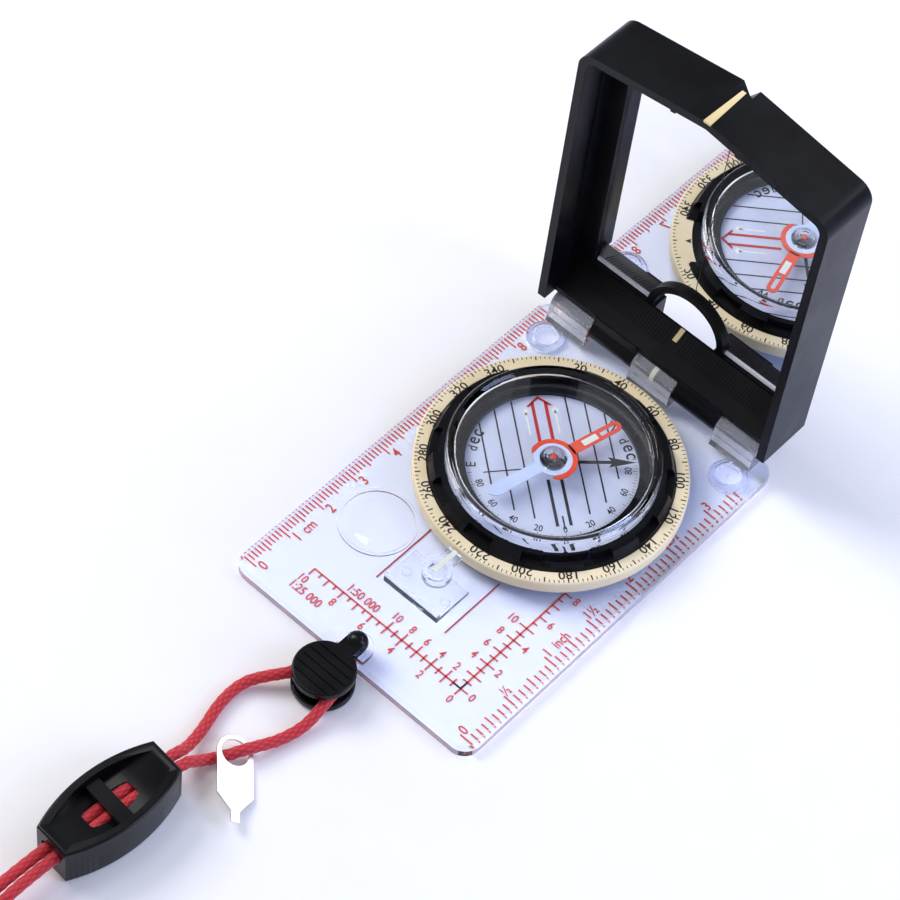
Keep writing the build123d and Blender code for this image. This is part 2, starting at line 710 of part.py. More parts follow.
# ---- pivot, clinometer pointer, needle ----
def make_pivot_post():
    """Pivot: a shank in the capsule's floor, and a foot that the pointer turns above."""
    post = disc(pivot_radius, capsule_floor_top - pivot_sink, pivot_tip_z)
    foot = disc(pivot_foot_radius, capsule_floor_top, pointer_z - pointer_seat_gap)
    return post + foot


def turned(solid, direction):
    """Turns a piece drawn along +X to a direction in degrees."""
    return Rot(0, 0, direction) * solid


def make_clinometer_pointer():
    """Thin pointer that hangs down when the compass stands on its edge."""
    z1 = pointer_z + pointer_thickness
    head = pointer_length - pointer_head_length
    notch = head + pointer_head_notch
    stem = box_between(0, notch + 2 * pointer_stem_half, -pointer_stem_half, pointer_stem_half, pointer_z, z1)
    arrow = make_face(Polyline((head, -pointer_head_half), (pointer_length, 0), (head, pointer_head_half),
                               (notch, 0), close=True))
    pointer = disc(pointer_hub_radius, pointer_z, z1) + stem
    pointer += Pos(0, 0, pointer_z) * extrude(arrow, pointer_thickness)
    pointer -= disc(pivot_radius + pointer_bore_gap, pointer_z - 1, z1 + 1)
    return turned(pointer, pointer_direction)


def make_needle_north():
    """Orange half: an arm with a rounded tip and an open ring round the hub."""
    z1 = needle_z + needle_thickness
    half = needle_arm_width / 2
    root = (needle_ring_outer + needle_ring_inner) / 2
    arm = box_between(root, needle_tip_radius - half, -half, half, needle_z, z1)
    arm += disc(half, needle_z, z1, needle_tip_radius - half, 0)
    gap = 360 - needle_ring_angle
    ring = annulus(needle_ring_outer, needle_ring_inner, needle_z, z1)
    ring -= sector(0, needle_ring_outer + 1, 180, gap, needle_z - 1, z1 + 1)
    return turned(arm + ring, needle_direction)


def make_needle_south():
    """Pale translucent half: a web round the hub and the tail blade."""
    z1 = needle_z + needle_thickness
    web = annulus(needle_ring_inner, needle_cap_radius, needle_z, z1)
    shoulder = needle_tail_point - needle_tail_radius
    blade = make_face(Polyline((-needle_cap_radius, -needle_tail_root_half), (shoulder, -needle_tail_half),
                               (-needle_tail_radius, 0), (shoulder, needle_tail_half),
                               (-needle_cap_radius, needle_tail_root_half), close=True))
    tail = Pos(0, 0, needle_z) * extrude(blade, needle_thickness)
    tail -= disc(needle_cap_radius, needle_z - 1, z1 + 1)
    return turned(web + tail, needle_direction)


def make_needle_cap():
    """Clear hub with a blind bearing hole that sits on the pivot's tip."""
    bottom = needle_z - magnet_thickness - magnet_skin
    cap = disc(needle_cap_radius, bottom, needle_z + needle_cap_height)
    cap = fillet(cap.faces().sort_by(Axis.Z)[-1].edges(), needle_cap_edge_radius)
    cap -= disc(needle_bore_radius, bottom - 1, pivot_tip_z + needle_bore_end_gap)
    return cap - make_needle_magnets()


def make_needle_magnets():
    """Two short bar magnets, one each side of the pivot, under the needle."""
    z0 = needle_z - magnet_thickness
    near = needle_bore_radius + magnet_skin
    far = near + magnet_width
    bars = (box_between(near, far, -magnet_length / 2, magnet_length / 2, z0, needle_z)
            + box_between(-far, -near, -magnet_length / 2, magnet_length / 2, z0, needle_z))
    return turned(bars, needle_direction + 90)


# ---- lanyard clip ----
def make_clip_lower():
    """Lower disc and the post that the cord goes round."""
    lower = disc(clip_radius, clip_bottom, clip_lower_top, 0, clip_y)
    lower = fillet(lower.edges(), clip_edge_radius)
    lower += disc(clip_post_radius, clip_lower_top - bond, clip_upper_bottom, 0, clip_y)
    peg_top = clip_upper_bottom + clip_peg_length
    return lower + disc(clip_peg_radius, clip_upper_bottom - bond, peg_top, 0, clip_y)


def make_clip_upper():
    """Ribbed upper disc, with a neck to a ball whose stud drops into the plate's slot."""
    upper = disc(clip_radius, clip_upper_bottom, clip_upper_top, 0, clip_y)
    upper = fillet(upper.edges(), clip_edge_radius)
    neck = box_between(-clip_neck_half_width, clip_neck_half_width, clip_y + clip_neck_root, slot_y,
                       clip_upper_bottom, clip_upper_top)
    ball = Pos(0, slot_y, clip_upper_bottom + clip_ball_lift) * Sphere(clip_ball_radius)
    ball -= disc(2 * clip_ball_radius, 0, clip_upper_bottom - clip_ball_drop, 0, slot_y)
    stud = disc(slot_half_width - clip_stud_gap, clip_bottom, clip_upper_bottom, 0, slot_y)
    upper += neck
    upper += ball
    upper += stud
    for index in range(clip_rib_count):
        y = (index - (clip_rib_count - 1) / 2) * clip_rib_pitch
        reach = (clip_radius - clip_rib_margin) * cos(asin(y / clip_radius))
        rib = box_between(-reach, reach, clip_y + y - clip_rib_half_width, clip_y + y + clip_rib_half_width,
                          clip_upper_top - bond, clip_upper_top + clip_rib_height)
        upper += rib
    peg_top = clip_upper_bottom + clip_peg_length
    return upper - disc(clip_peg_radius, clip_upper_bottom - 1, peg_top, 0, clip_y)


# ---- cord slider and key tag ----
def place_slider(solid):
    """Puts a solid drawn along Y about the origin where the slider lies."""
    return Pos(slider_x, slider_y, 0) * Rot(0, 0, -slider_heading) * solid


def slider_outline(inset):
    """Barrel outline: flat ends and bowed sides, in the slider's own frame along Y."""
    end = slider_length / 2 - inset
    bow = slider_half_width - inset
    flat = slider_end_half_width - inset
    lines = [ThreePointArc((flat, -end), (bow, 0), (flat, end)), Line((flat, end), (-flat, end)),
             ThreePointArc((-flat, end), (-bow, 0), (-flat, -end)), Line((-flat, -end), (flat, -end))]
    return make_face(Curve() + lines)


def make_cord_slider():
    """Black cord lock with a dished top that shows the cord each side of a bridge."""
    body = extrude(slider_outline(0), slider_height)
    ends = body.faces().sort_by(Axis.Z)
    body = fillet(ends[0].edges() + ends[-1].edges(), slider_edge_radius)
    chord = slider_length - 2 * dish_margin
    radius = (chord ** 2 / 4 + dish_depth ** 2) / (2 * dish_depth)
    floor = slider_height - dish_depth
    scoop = Pos(0, 0, floor + radius) * Rot(0, 90, 0) * Cylinder(radius, 2 * slider_half_width)
    scoop &= extrude(slider_outline(dish_margin), slider_height + 1)
    bridge = box_between(-slider_half_width, slider_half_width, -bridge_half_length, bridge_half_length,
                         0, floor + bridge_rise)
    body -= scoop - bridge
    channel_radius = cord_diameter / 2 + cord_clearance
    reach = slider_length
    bore = Rot(90, 0, 0) * Cylinder(channel_radius, reach)
    for side in (-1, 1):
        body -= Pos(side * strand_spacing / 2, 0, slider_channel_z) * bore
    web = strand_spacing / 2
    body -= box_between(-web, web, -reach / 2, reach / 2, slider_channel_z - channel_radius,
                        slider_channel_z + channel_radius)
    return place_slider(body)


def make_key_tag():
    """Flat key on the cord: a holed head, shoulders and a narrow screwdriver tip."""
    w = tag_half_width
    tip = tag_tip_half_width
    body = make_face(Polyline((0, -w), (tag_shoulder, -w), (tag_neck, -tip), (tag_tip, -tip), (tag_tip, tip),
                              (tag_neck, tip), (tag_shoulder, w), (0, w), close=True))
    head = Circle(w)
    plate = extrude(body, tag_thickness) + extrude(head, tag_thickness)
    plate += Pos(-(tag_head - w) / 2, 0, tag_thickness / 2) * Box(tag_head - w, w, tag_thickness)
    plate -= disc(tag_hole_radius, -1, tag_thickness + 1)
    plate = Pos(0, 0, -tag_thickness / 2) * plate
    return Pos(tag_hole_x, tag_hole_y, tag_lift) * Rot(0, 0, tag_heading) * Rot(-tag_tilt, 0, 0) * plate


# ---- cord ----
def slider_point(along, across, z):
    """A point in the slider's frame: along its length, across it, and its height."""
    heading = radians(slider_heading)
    x = slider_x + along * sin(heading) + across * cos(heading)
    y = slider_y + along * cos(heading) - across * sin(heading)
    return (x, y, z)


front_loop = [
    slider_point(0.0, 1.3, 6.2), slider_point(17.0, 1.3, 6.2), (-4.2, -99.8, 3.0), (-3.0, -96.3, 1.3),
    (-1.6, -94.2, 1.45), (0.4, -91.4, 2.75), (1.7, -88.4, 2.2), (3.4, -84.2, 1.4), (4.8, -78.6, 1.6),
    (4.6, -73.4, 3.25), (3.4, -65.1, 3.25), (-3.4, -65.1, 3.25), (-4.9, -72.2, 3.25), (-7.9, -75.9, 2.9),
    (-11.1, -80.0, 1.4), (-11.0, -86.6, 1.3), (-8.9, -93.4, 1.5), (-7.6, -99.4, 3.0),
    slider_point(17.0, -1.3, 6.2), slider_point(0.0, -1.3, 6.2),
]
tail_out = [
    slider_point(0.0, -1.3, 6.2), slider_point(-25.0, -1.3, 6.2), (-11.2, -150.8, 1.7), (-8.9, -156.2, 1.3),
    (-5.0, -160.6, 1.3), (-1.4, -164.8, 1.3),
]
tail_back = [
    slider_point(0.0, 1.3, 6.2), slider_point(-25.0, 1.3, 6.2), (-8.0, -150.4, 1.7), (-5.4, -155.4, 1.3),
    (-1.4, -159.8, 1.3), (1.9, -165.6, 1.3), (2.9, -172.4, 1.3),
]


def corner_radii(points):
    """0.45 of the shorter run beside each corner, divided by the tangent of half the turn."""
    radii = []
    for before, corner, after in zip(points, points[1:], points[2:]):
        first = Vector(corner) - Vector(before)
        second = Vector(after) - Vector(corner)
        shorter = min(first.length, second.length)
        turn = radians(first.get_angle(second))
        radii.append(0.45 * shorter / tan(turn / 2))
    return radii


def make_cord(name, points):
    radii = corner_radii(points)
    path = FilletPolyline(*points, radius=radii)
    start = Plane(origin=path @ 0, z_dir=path % 0)
    tube = sweep(start * Circle(cord_diameter / 2), path=path)
    section = pi * cord_diameter ** 2 / 4
    print(name, "radii", [round(radius, 1) for radius in radii], "length", round(path.length, 1),
          "volume / (section x length)", round(tube.volume / (section * path.length), 3))
    return tube


def make_lanyard_coil():
    """Outer shape of the wound-up neck loop, lying on its tie."""
    ring = disc(coil_outer_radius, tie_thickness, tie_thickness + coil_height, coil_x, coil_y)
    ring -= disc(coil_inner_radius, 0, coil_height + 2, coil_x, coil_y)
    return fillet(ring.edges(), 1.6)


def make_coil_tie():
    """Flat band round the coil's turns, on the side away from the slider."""
    inner = coil_inner_radius - tie_thickness
    outer = coil_outer_radius + tie_thickness
    top = coil_height + 2 * tie_thickness
    band = box_between(-tie_width / 2, tie_width / 2, -outer, -inner, 0, top)
    band -= box_between(-tie_width, tie_width, -coil_outer_radius, -coil_inner_radius,
                        tie_thickness, tie_thickness + coil_height)
    return Pos(coil_x, coil_y, 0) * band - make_lanyard_coil()


parts = {
    "baseplate": make_baseplate,
    "grip_pads": make_grip_pads,
    "index_bracket": make_index_bracket,
    "index_line": index_inlay,
    "hinge_line": knuckle_inlay,
    "hinge_pin": make_hinge_pin,
    "lid_frame": make_lid_frame,
    "mirror": make_mirror,
    "lid_sight_line": roof_inlay,
    "lid_base_mark": slope_inlay,
    "dial_ring": make_dial_ring,
    "grip_ring": make_grip_ring,
    "capsule_cover": make_capsule_cover,
    "capsule_base": make_capsule_base,
    "capsule_seal": make_capsule_seal,
    "retainer_ring": make_retainer_ring,
    "declination_ring": make_declination_ring,
    "declination_pinion": make_declination_pinion,
    "orienting_disc": make_orienting_disc,
    "pivot_post": make_pivot_post,
    "clinometer_pointer": make_clinometer_pointer,
    "needle_north": make_needle_north,
    "needle_south": make_needle_south,
    "needle_cap": make_needle_cap,
    "needle_magnets": make_needle_magnets,
    "clip_lower": make_clip_lower,
    "clip_upper": make_clip_upper,
    "cord_slider": make_cord_slider,
    "key_tag": make_key_tag,
    "lanyard_coil": make_lanyard_coil,
    "coil_tie": make_coil_tie,
}
cords = {"cord_loop": front_loop, "cord_tail_out": tail_out, "cord_tail_back": tail_back}

os.makedirs("parts", exist_ok=True)
to_frame = Pos(0, frame_shift, 0)
for name, build in parts.items():
    export_step(to_frame * build(), f"parts/{name}.step")
for name, points in cords.items():
    export_step(to_frame * make_cord(name, points), f"parts/{name}.step")
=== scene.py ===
"""Looks of a mirror-sighting baseplate compass with its lanyard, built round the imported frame.

Lengths in the classes are in millimetres about the dial's turning axis, X across the plate, Y
towards the hinge and Z up. Space turns them into the frame's metres.
"""
import logging
from collections.abc import Callable
from dataclasses import dataclass, field
from enum import Enum
from math import acos, cos, degrees, pi, radians, sin

import bmesh
import bpy
import numpy as np
from mathutils import Matrix, Vector


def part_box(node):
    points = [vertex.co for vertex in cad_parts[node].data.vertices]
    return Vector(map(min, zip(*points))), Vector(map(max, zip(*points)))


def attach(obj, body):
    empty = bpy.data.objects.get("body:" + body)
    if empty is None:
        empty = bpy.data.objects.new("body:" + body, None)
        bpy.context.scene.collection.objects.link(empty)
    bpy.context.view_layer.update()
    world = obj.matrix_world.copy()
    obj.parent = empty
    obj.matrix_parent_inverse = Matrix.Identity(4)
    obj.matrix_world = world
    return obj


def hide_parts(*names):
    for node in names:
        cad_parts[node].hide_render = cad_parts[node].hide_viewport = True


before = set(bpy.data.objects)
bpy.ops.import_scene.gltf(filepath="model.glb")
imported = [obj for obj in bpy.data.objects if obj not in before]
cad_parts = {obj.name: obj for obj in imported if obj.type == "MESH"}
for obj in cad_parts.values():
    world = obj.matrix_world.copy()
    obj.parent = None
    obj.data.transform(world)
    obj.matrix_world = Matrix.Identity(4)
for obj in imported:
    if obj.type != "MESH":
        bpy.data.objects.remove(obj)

log = logging.getLogger("compass")
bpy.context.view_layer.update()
MM = 0.001
NOISE_LOW, NOISE_HIGH = 0.3, 0.7   # nearly all of a noise texture's values lie between these
ACRYLIC_IOR = 1.49
AIR_GAP = 0.04                     # millimetres of air between clear pieces that lie on each other
PIECE_SHARP, NODE_SHARP = 35.0, 30.0   # degrees past which a piece's or a CAD copy's edge is sharp
TURNED_SHARP = 50.0                # and a turned piece's
MERGE = 1e-6                       # metres between corners that are one
FLAT = 1.0                         # degrees within which triangles are one face


class Body(Enum):
    """The moving bodies that pieces ride on."""

    PLATE = "plate"
    LID = "lid"
    DIAL = "dial"
    DECLINATION = "declination"
    NEEDLE = "needle"
    LANYARD = "lanyard"
    SLIDER = "slider"


# ---- places and arrays ----
class Space:
    """Turns millimetres about the dial's axis into metres in the frame."""

    low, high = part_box("dial_ring")
    axis = np.array([(low.x + high.x) / 2, (low.y + high.y) / 2, 0.0])

    @classmethod
    def metres(cls, points: np.ndarray) -> np.ndarray:
        """Args: points, N by 3 in millimetres. Returns: the same points in the frame, in metres."""
        return np.asarray(points, float) * MM + cls.axis

    @classmethod
    def millimetres(cls, points: np.ndarray) -> np.ndarray:
        """Args: points, N by 3 in the frame. Returns: the same points in millimetres about the axis."""
        return (np.asarray(points, float) - cls.axis) / MM

    @classmethod
    def box(cls, node: str) -> tuple[np.ndarray, np.ndarray]:
        """Args: node, a CAD node. Returns: its lowest and highest corners in millimetres."""
        low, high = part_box(node)
        return (np.array(low) - cls.axis) / MM, (np.array(high) - cls.axis) / MM


def rotation(angle: float) -> np.ndarray:
    """Args: angle in degrees. Returns: the 2 by 2 matrix that turns a plane point by it."""
    a = radians(angle)
    return np.array([[cos(a), -sin(a)], [sin(a), cos(a)]])


def smooth_step(x: np.ndarray) -> np.ndarray:
    """Args: x, any numbers. Returns: 3x squared less 2x cubed, with x held between 0 and 1."""
    x = np.clip(x, 0.0, 1.0)
    return x * x * (3 - 2 * x)


def grid_faces(rows: int, columns: int, close_rows: bool, close_columns: bool) -> np.ndarray:
    """Quads of a grid whose point (i, j) has the number i * columns + j.

    Args:
        rows, columns: size of the grid.
        close_rows, close_columns: whether the last line joins the first.
    Returns: an array of four point numbers for each quad.
    """
    i = np.arange(rows if close_rows else rows - 1)
    j = np.arange(columns if close_columns else columns - 1)
    i, j = (a.ravel() for a in np.meshgrid(i, j, indexing="ij"))
    i2, j2 = (i + 1) % rows, (j + 1) % columns
    return np.stack([i * columns + j, i * columns + j2, i2 * columns + j2, i2 * columns + j], axis=1)


@dataclass
class Patch:
    """Points in millimetres, and faces that number them."""

    points: np.ndarray
    faces: list

    @staticmethod
    def join(patches: list["Patch"]) -> "Patch":
        """Args: patches. Returns: one patch that holds them all."""
        points, faces, count = [], [], 0
        for patch in patches:
            points.append(patch.points)
            faces += [[int(n) + count for n in face] for face in patch.faces]
            count += len(patch.points)
        return Patch(np.concatenate(points), faces)

    def turned(self, angle: float, centre: tuple[float, float] = (0.0, 0.0)) -> "Patch":
        """Args: angle in degrees about Z, centre in the plane. Returns: the turned patch."""
        points = self.points.copy()
        points[:, :2] = (points[:, :2] - centre) @ rotation(angle).T + centre
        return Patch(points, self.faces)

    def moved(self, x: float, y: float, z: float) -> "Patch":
        """Args: x, y, z, the way to go. Returns: the moved patch."""
        return Patch(self.points + np.array([x, y, z]), self.faces)


def bars(starts: np.ndarray, ends: np.ndarray, width: np.ndarray | float, z0: float, z1: float) -> Patch:
    """Straight flat bars, each a box from its start to its end.

    A corner stands at an end, half the width to one side of the bar's own direction, at z0 or z1.
    Args:
        starts, ends: N by 2.
        width: of each bar, or of all.
        z0, z1: bottom and top.
    Returns: the bars as one patch.
    """
    starts, ends = np.asarray(starts, float), np.asarray(ends, float)
    run = ends - starts
    run /= np.linalg.norm(run, axis=1, keepdims=True)
    side = np.stack([-run[:, 1], run[:, 0]], axis=1) * (np.broadcast_to(width, len(starts))[:, None] / 2)
    flat = np.stack([starts - side, ends - side, ends + side, starts + side], axis=1)
    low = np.concatenate([flat, np.full(flat.shape[:2] + (1,), z0)], axis=2)
    high = np.concatenate([flat, np.full(flat.shape[:2] + (1,), z1)], axis=2)
    points = np.concatenate([low, high], axis=1).reshape(-1, 3)
    sides = np.array([[3, 2, 1, 0], [4, 5, 6, 7], [0, 1, 5, 4], [1, 2, 6, 5], [2, 3, 7, 6], [3, 0, 4, 7]])
    faces = (np.arange(len(starts))[:, None, None] * 8 + sides).reshape(-1, 4)
    return Patch(points, faces.tolist())


def block(low: tuple, high: tuple) -> Patch:
    """Args: low, high, two corners. Returns: the box between them."""
    middle = (low[1] + high[1]) / 2
    return bars([[low[0], middle]], [[high[0], middle]], high[1] - low[1], low[2], high[2])


def prism(outline: np.ndarray, z0: float, z1: float) -> Patch:
    """Args: outline, N by 2, either way round; z0, z1. Returns: the outline carried up from z0 to z1."""
    outline = np.asarray(outline, float)
    x, y = outline.T
    if x @ np.roll(y, -1) < y @ np.roll(x, -1):
        outline = outline[::-1]
    count = len(outline)
    low = np.column_stack([outline, np.full(count, z0)])
    high = np.column_stack([outline, np.full(count, z1)])
    sides = [[i, (i + 1) % count, (i + 1) % count + count, i + count] for i in range(count)]
    caps = [list(range(count - 1, -1, -1)), list(range(count, 2 * count))]
    return Patch(np.concatenate([low, high]), sides + caps)


def arc(radius: float, start: float, end: float, steps: int, centre: tuple = (0.0, 0.0)) -> np.ndarray:
    """Args: radius, start and end in degrees, steps, centre. Returns: points along the arc, N by 2."""
    angle = np.radians(np.linspace(start, end, steps + 1))
    return np.stack([np.cos(angle), np.sin(angle)], axis=1) * radius + np.array(centre)


def lathe(profile: np.ndarray, segments: int = 128, centre: tuple = (0.0, 0.0)) -> Patch:
    """A closed profile turned round an upright axis.

    The point (i, j) is the profile's point i, its radius swung to the angle 2 pi j / segments.
    Args:
        profile: N by 2, radius and height, drawn anticlockwise when radius runs right and height up.
        segments: steps round the axis.
        centre: where the axis stands.
    Returns: the turned surface.
    """
    profile = np.asarray(profile, float)
    angle = np.linspace(0, 2 * pi, segments, endpoint=False)
    radius, height = profile[:, 0][:, None], profile[:, 1][:, None]
    points = np.stack([centre[0] + radius * np.cos(angle), centre[1] + radius * np.sin(angle),
                       height + 0 * angle], axis=2).reshape(-1, 3)
    return Patch(points, grid_faces(len(profile), segments, True, True).tolist())


def rounded(corners: list, radii: list | float, steps: int = 4) -> np.ndarray:
    """A polygon with its corners turned into arcs.

    Each corner gives way to an arc that touches both its sides, its radius limited by the shorter.
    Args:
        corners: N by 2.
        radii: one for each corner, or one for all.
        steps: of each arc.
    Returns: the rounded outline.
    """
    corners = np.asarray(corners, float)
    radii = np.broadcast_to(np.asarray(radii, float), len(corners))
    made = []
    for before, here, after, radius in zip(np.roll(corners, 1, 0), corners, np.roll(corners, -1, 0), radii):
        a, b = before - here, after - here
        la, lb = np.linalg.norm(a), np.linalg.norm(b)
        a, b = a / la, b / lb
        half = acos(float(np.clip(a @ b, -1, 1))) / 2
        reach = min(radius / np.tan(half), 0.49 * la, 0.49 * lb)
        if reach < 1e-4:
            made.append(here[None])
            continue
        t = np.linspace(0, 1, steps + 1)[:, None]
        size = reach * np.tan(half)
        middle = here + (a + b) / np.linalg.norm(a + b) * (size / np.sin(half))
        start, end = here + a * reach - middle, here + b * reach - middle
        swing = pi - 2 * half
        made.append(middle + (start * np.sin((1 - t) * swing) + end * np.sin(t * swing)) / np.sin(swing))
    return np.concatenate(made)


class Lettering:
    """Generic numbers and letters as flat meshes."""

    kept: dict = {}
    boldness: float = 0.012

    @classmethod
    def glyphs(cls, words: str) -> Patch:
        """Args: words. Returns: them at height 1 with their middle at the origin, 1 thick."""
        if words not in cls.kept:
            curve = bpy.data.curves.new("lettering", "FONT")
            curve.body, curve.align_x, curve.align_y = words, "LEFT", "BOTTOM_BASELINE"
            curve.resolution_u, curve.extrude, curve.offset = 3, 0.5, cls.boldness
            holder = bpy.data.objects.new("lettering", curve)
            bpy.context.scene.collection.objects.link(holder)
            mesh = bpy.data.meshes.new_from_object(holder)
            points = np.zeros(len(mesh.vertices) * 3)
            mesh.vertices.foreach_get("co", points)
            points = points.reshape(-1, 3)
            faces = [list(p.vertices) for p in mesh.polygons]
            bpy.data.objects.remove(holder)
            bpy.data.curves.remove(curve)
            bpy.data.meshes.remove(mesh)
            low, high = points.min(0), points.max(0)
            points -= (low + high) / 2
            points[:, :2] /= high[1] - low[1]
            cls.kept[words] = Patch(points, faces)
        return cls.kept[words]

    @classmethod
    def place(cls, words: str, height: float, at: tuple, turn: float, z0: float, z1: float,
              narrow: float = 0.82) -> Patch:
        """Args:
            words, height: what to write, and how high.
            at, turn: where its middle stands, and the angle of its baseline in degrees.
            z0, z1: bottom and top of the print.
            narrow: width as a share of the letters' own.
        Returns: the lettering in its place.
        """
        glyphs = cls.glyphs(words)
        flat = glyphs.points[:, :2] * [height * narrow, height] @ rotation(turn).T + at
        z = np.where(glyphs.points[:, 2] > 0, z1, z0)
        return Patch(np.column_stack([flat, z]), glyphs.faces)


# ---- colours and nodes ----
def linear(colour: str) -> tuple[float, float, float, float]:
    """Args: colour, sRGB as six hex digits. Returns: linear red, green, blue, and 1 for alpha."""
    values = [int(colour[i:i + 2], 16) / 255 for i in (0, 2, 4)]
    return tuple(v / 12.92 if v <= 0.04045 else ((v + 0.055) / 1.055) ** 2.4 for v in values) + (1.0,)


def add_node(tree: bpy.types.NodeTree, kind: str, settings: dict, inputs: dict) -> bpy.types.Node:
    """Adds a node. An input given as a socket is linked, and any other is set.

    Args:
        tree, kind: where it goes and what it is.
        settings: attributes of the node.
        inputs: by name or number.
    Returns: the node.
    """
    made = tree.nodes.new(kind)
    for key, value in settings.items():
        setattr(made, key, value)
    for key, value in inputs.items():
        if isinstance(value, bpy.types.NodeSocket):
            tree.links.new(value, made.inputs[key])
        else:
            made.inputs[key].default_value = value
    return made


def fresh(name: str) -> tuple[bpy.types.Material, bpy.types.NodeTree, bpy.types.Node]:
    """Args: name. Returns: a new material, its tree emptied, and its output node."""
    material = bpy.data.materials.new(name)
    material.use_nodes = True
    tree = material.node_tree
    tree.nodes.clear()
    return material, tree, tree.nodes.new("ShaderNodeOutputMaterial")


def per_mm(size: float) -> float:
    """Args: size of a pattern's grain in millimetres. Returns: the noise scale that gives it."""
    return 1.0 / (size * MM)


def grain(tree: bpy.types.NodeTree, size: float, detail: float = 3.0) -> bpy.types.NodeSocket:
    """Args: tree, size of the grain in millimetres, detail. Returns: a noise value from 0 to 1."""
    place = add_node(tree, "ShaderNodeTexCoord", {}, {})
    noise = add_node(tree, "ShaderNodeTexNoise", {},
                     {"Vector": place.outputs["Object"], "Scale": per_mm(size), "Detail": detail})
    return noise.outputs["Fac"]


def spread(tree: bpy.types.NodeTree, value: bpy.types.NodeSocket, low: float,
           high: float) -> bpy.types.NodeSocket:
    """Args: tree, value around a half, low, high. Returns: low where it is 0.3, rising to high at 0.7."""
    ranged = add_node(tree, "ShaderNodeMapRange", {},
                      {0: value, "From Min": NOISE_LOW, "From Max": NOISE_HIGH,
                       "To Min": low, "To Max": high})
    return ranged.outputs["Result"]


def blended(tree: bpy.types.NodeTree, share: bpy.types.NodeSocket, first: str,
            second: str) -> bpy.types.NodeSocket:
    """Args: tree, share, two hex colours. Returns: the first colour turning to the second with share."""
    mix = add_node(tree, "ShaderNodeMix", {"data_type": "RGBA"},
                   {0: share, 6: linear(first), 7: linear(second)})
    return mix.outputs[2]


def bumped(tree: bpy.types.NodeTree, height: bpy.types.NodeSocket, depth: float,
           strength: float) -> bpy.types.NodeSocket:
    """Args: tree, height, depth in millimetres, strength. Returns: a normal with that relief."""
    bump = add_node(tree, "ShaderNodeBump", {},
                    {"Height": height, "Distance": depth * MM, "Strength": strength})
    return bump.outputs["Normal"]


@dataclass(frozen=True)
class Moulded:
    """A moulded or painted solid surface with a fine grain and a slow drift of tone."""

    name: str
    light: str
    dark: str
    low_roughness: float
    high_roughness: float
    grain_mm: float
    relief_mm: float
    drift_mm: float = 9.0
    metallic: float = 0.0
    ior: float = 1.5
    coat: float = 0.0
    specular: float = 0.5
    sheen: float = 0.0
    sheen_tint: str = "FFFFFF"

    def build(self) -> bpy.types.Material:
        """Returns: the material."""
        material, tree, output = fresh(self.name)
        fine = grain(tree, self.grain_mm)
        drift = grain(tree, self.drift_mm, 2.0)
        settings = {"Base Color": blended(tree, spread(tree, drift, 0.0, 1.0), self.dark, self.light),
                    "Roughness": spread(tree, drift, self.low_roughness, self.high_roughness),
                    "Normal": bumped(tree, fine, self.relief_mm, 0.6), "Metallic": self.metallic,
                    "Coat Weight": self.coat, "Coat Roughness": 0.12,
                    "Specular IOR Level": self.specular, "Sheen Weight": self.sheen,
                    "Sheen Roughness": 0.3, "Sheen Tint": linear(self.sheen_tint)}
        if self.metallic < 0.5:
            settings["IOR"] = self.ior
        shader = add_node(tree, "ShaderNodeBsdfPrincipled", {}, settings)
        tree.links.new(shader.outputs["BSDF"], output.inputs["Surface"])
        return material


@dataclass(frozen=True)
class Clear:
    """A clear moulded plastic or liquid. It refracts, and lets lamps through with its own tint."""

    name: str
    tint: str
    shade: str
    ior: float
    roughness: float
    ripple_mm: float

    def build(self) -> bpy.types.Material:
        """Returns: the material."""
        material, tree, output = fresh(self.name)
        wave = grain(tree, 7.0, 1.0)
        shader = add_node(tree, "ShaderNodeBsdfPrincipled", {},
                          {"Base Color": linear(self.tint), "Roughness": self.roughness, "IOR": self.ior,
                           "Transmission Weight": 1.0, "Normal": bumped(tree, wave, self.ripple_mm, 0.25)})
        passing = add_node(tree, "ShaderNodeBsdfTransparent", {}, {"Color": linear(self.shade)})
        ray = add_node(tree, "ShaderNodeLightPath", {}, {})
        mix = add_node(tree, "ShaderNodeMixShader", {},
                       {0: ray.outputs["Is Shadow Ray"], 1: shader.outputs["BSDF"],
                        2: passing.outputs["BSDF"]})
        tree.links.new(mix.outputs["Shader"], output.inputs["Surface"])
        return material


@dataclass(frozen=True)
class Frosted:
    """Thick or cut acrylic. The share of it that isn't clear scatters, so it glows as well as refracts."""

    name: str
    colour: str
    clear_share: float
    roughness: float

    def build(self) -> bpy.types.Material:
        """Returns: the material."""
        material, tree, output = fresh(self.name)
        shader = add_node(tree, "ShaderNodeBsdfPrincipled", {},
                          {"Base Color": linear(self.colour), "Roughness": self.roughness, "IOR": ACRYLIC_IOR,
                           "Transmission Weight": self.clear_share,
                           "Normal": bumped(tree, grain(tree, 0.9), 0.03, 0.5)})
        tree.links.new(shader.outputs["BSDF"], output.inputs["Surface"])
        return material


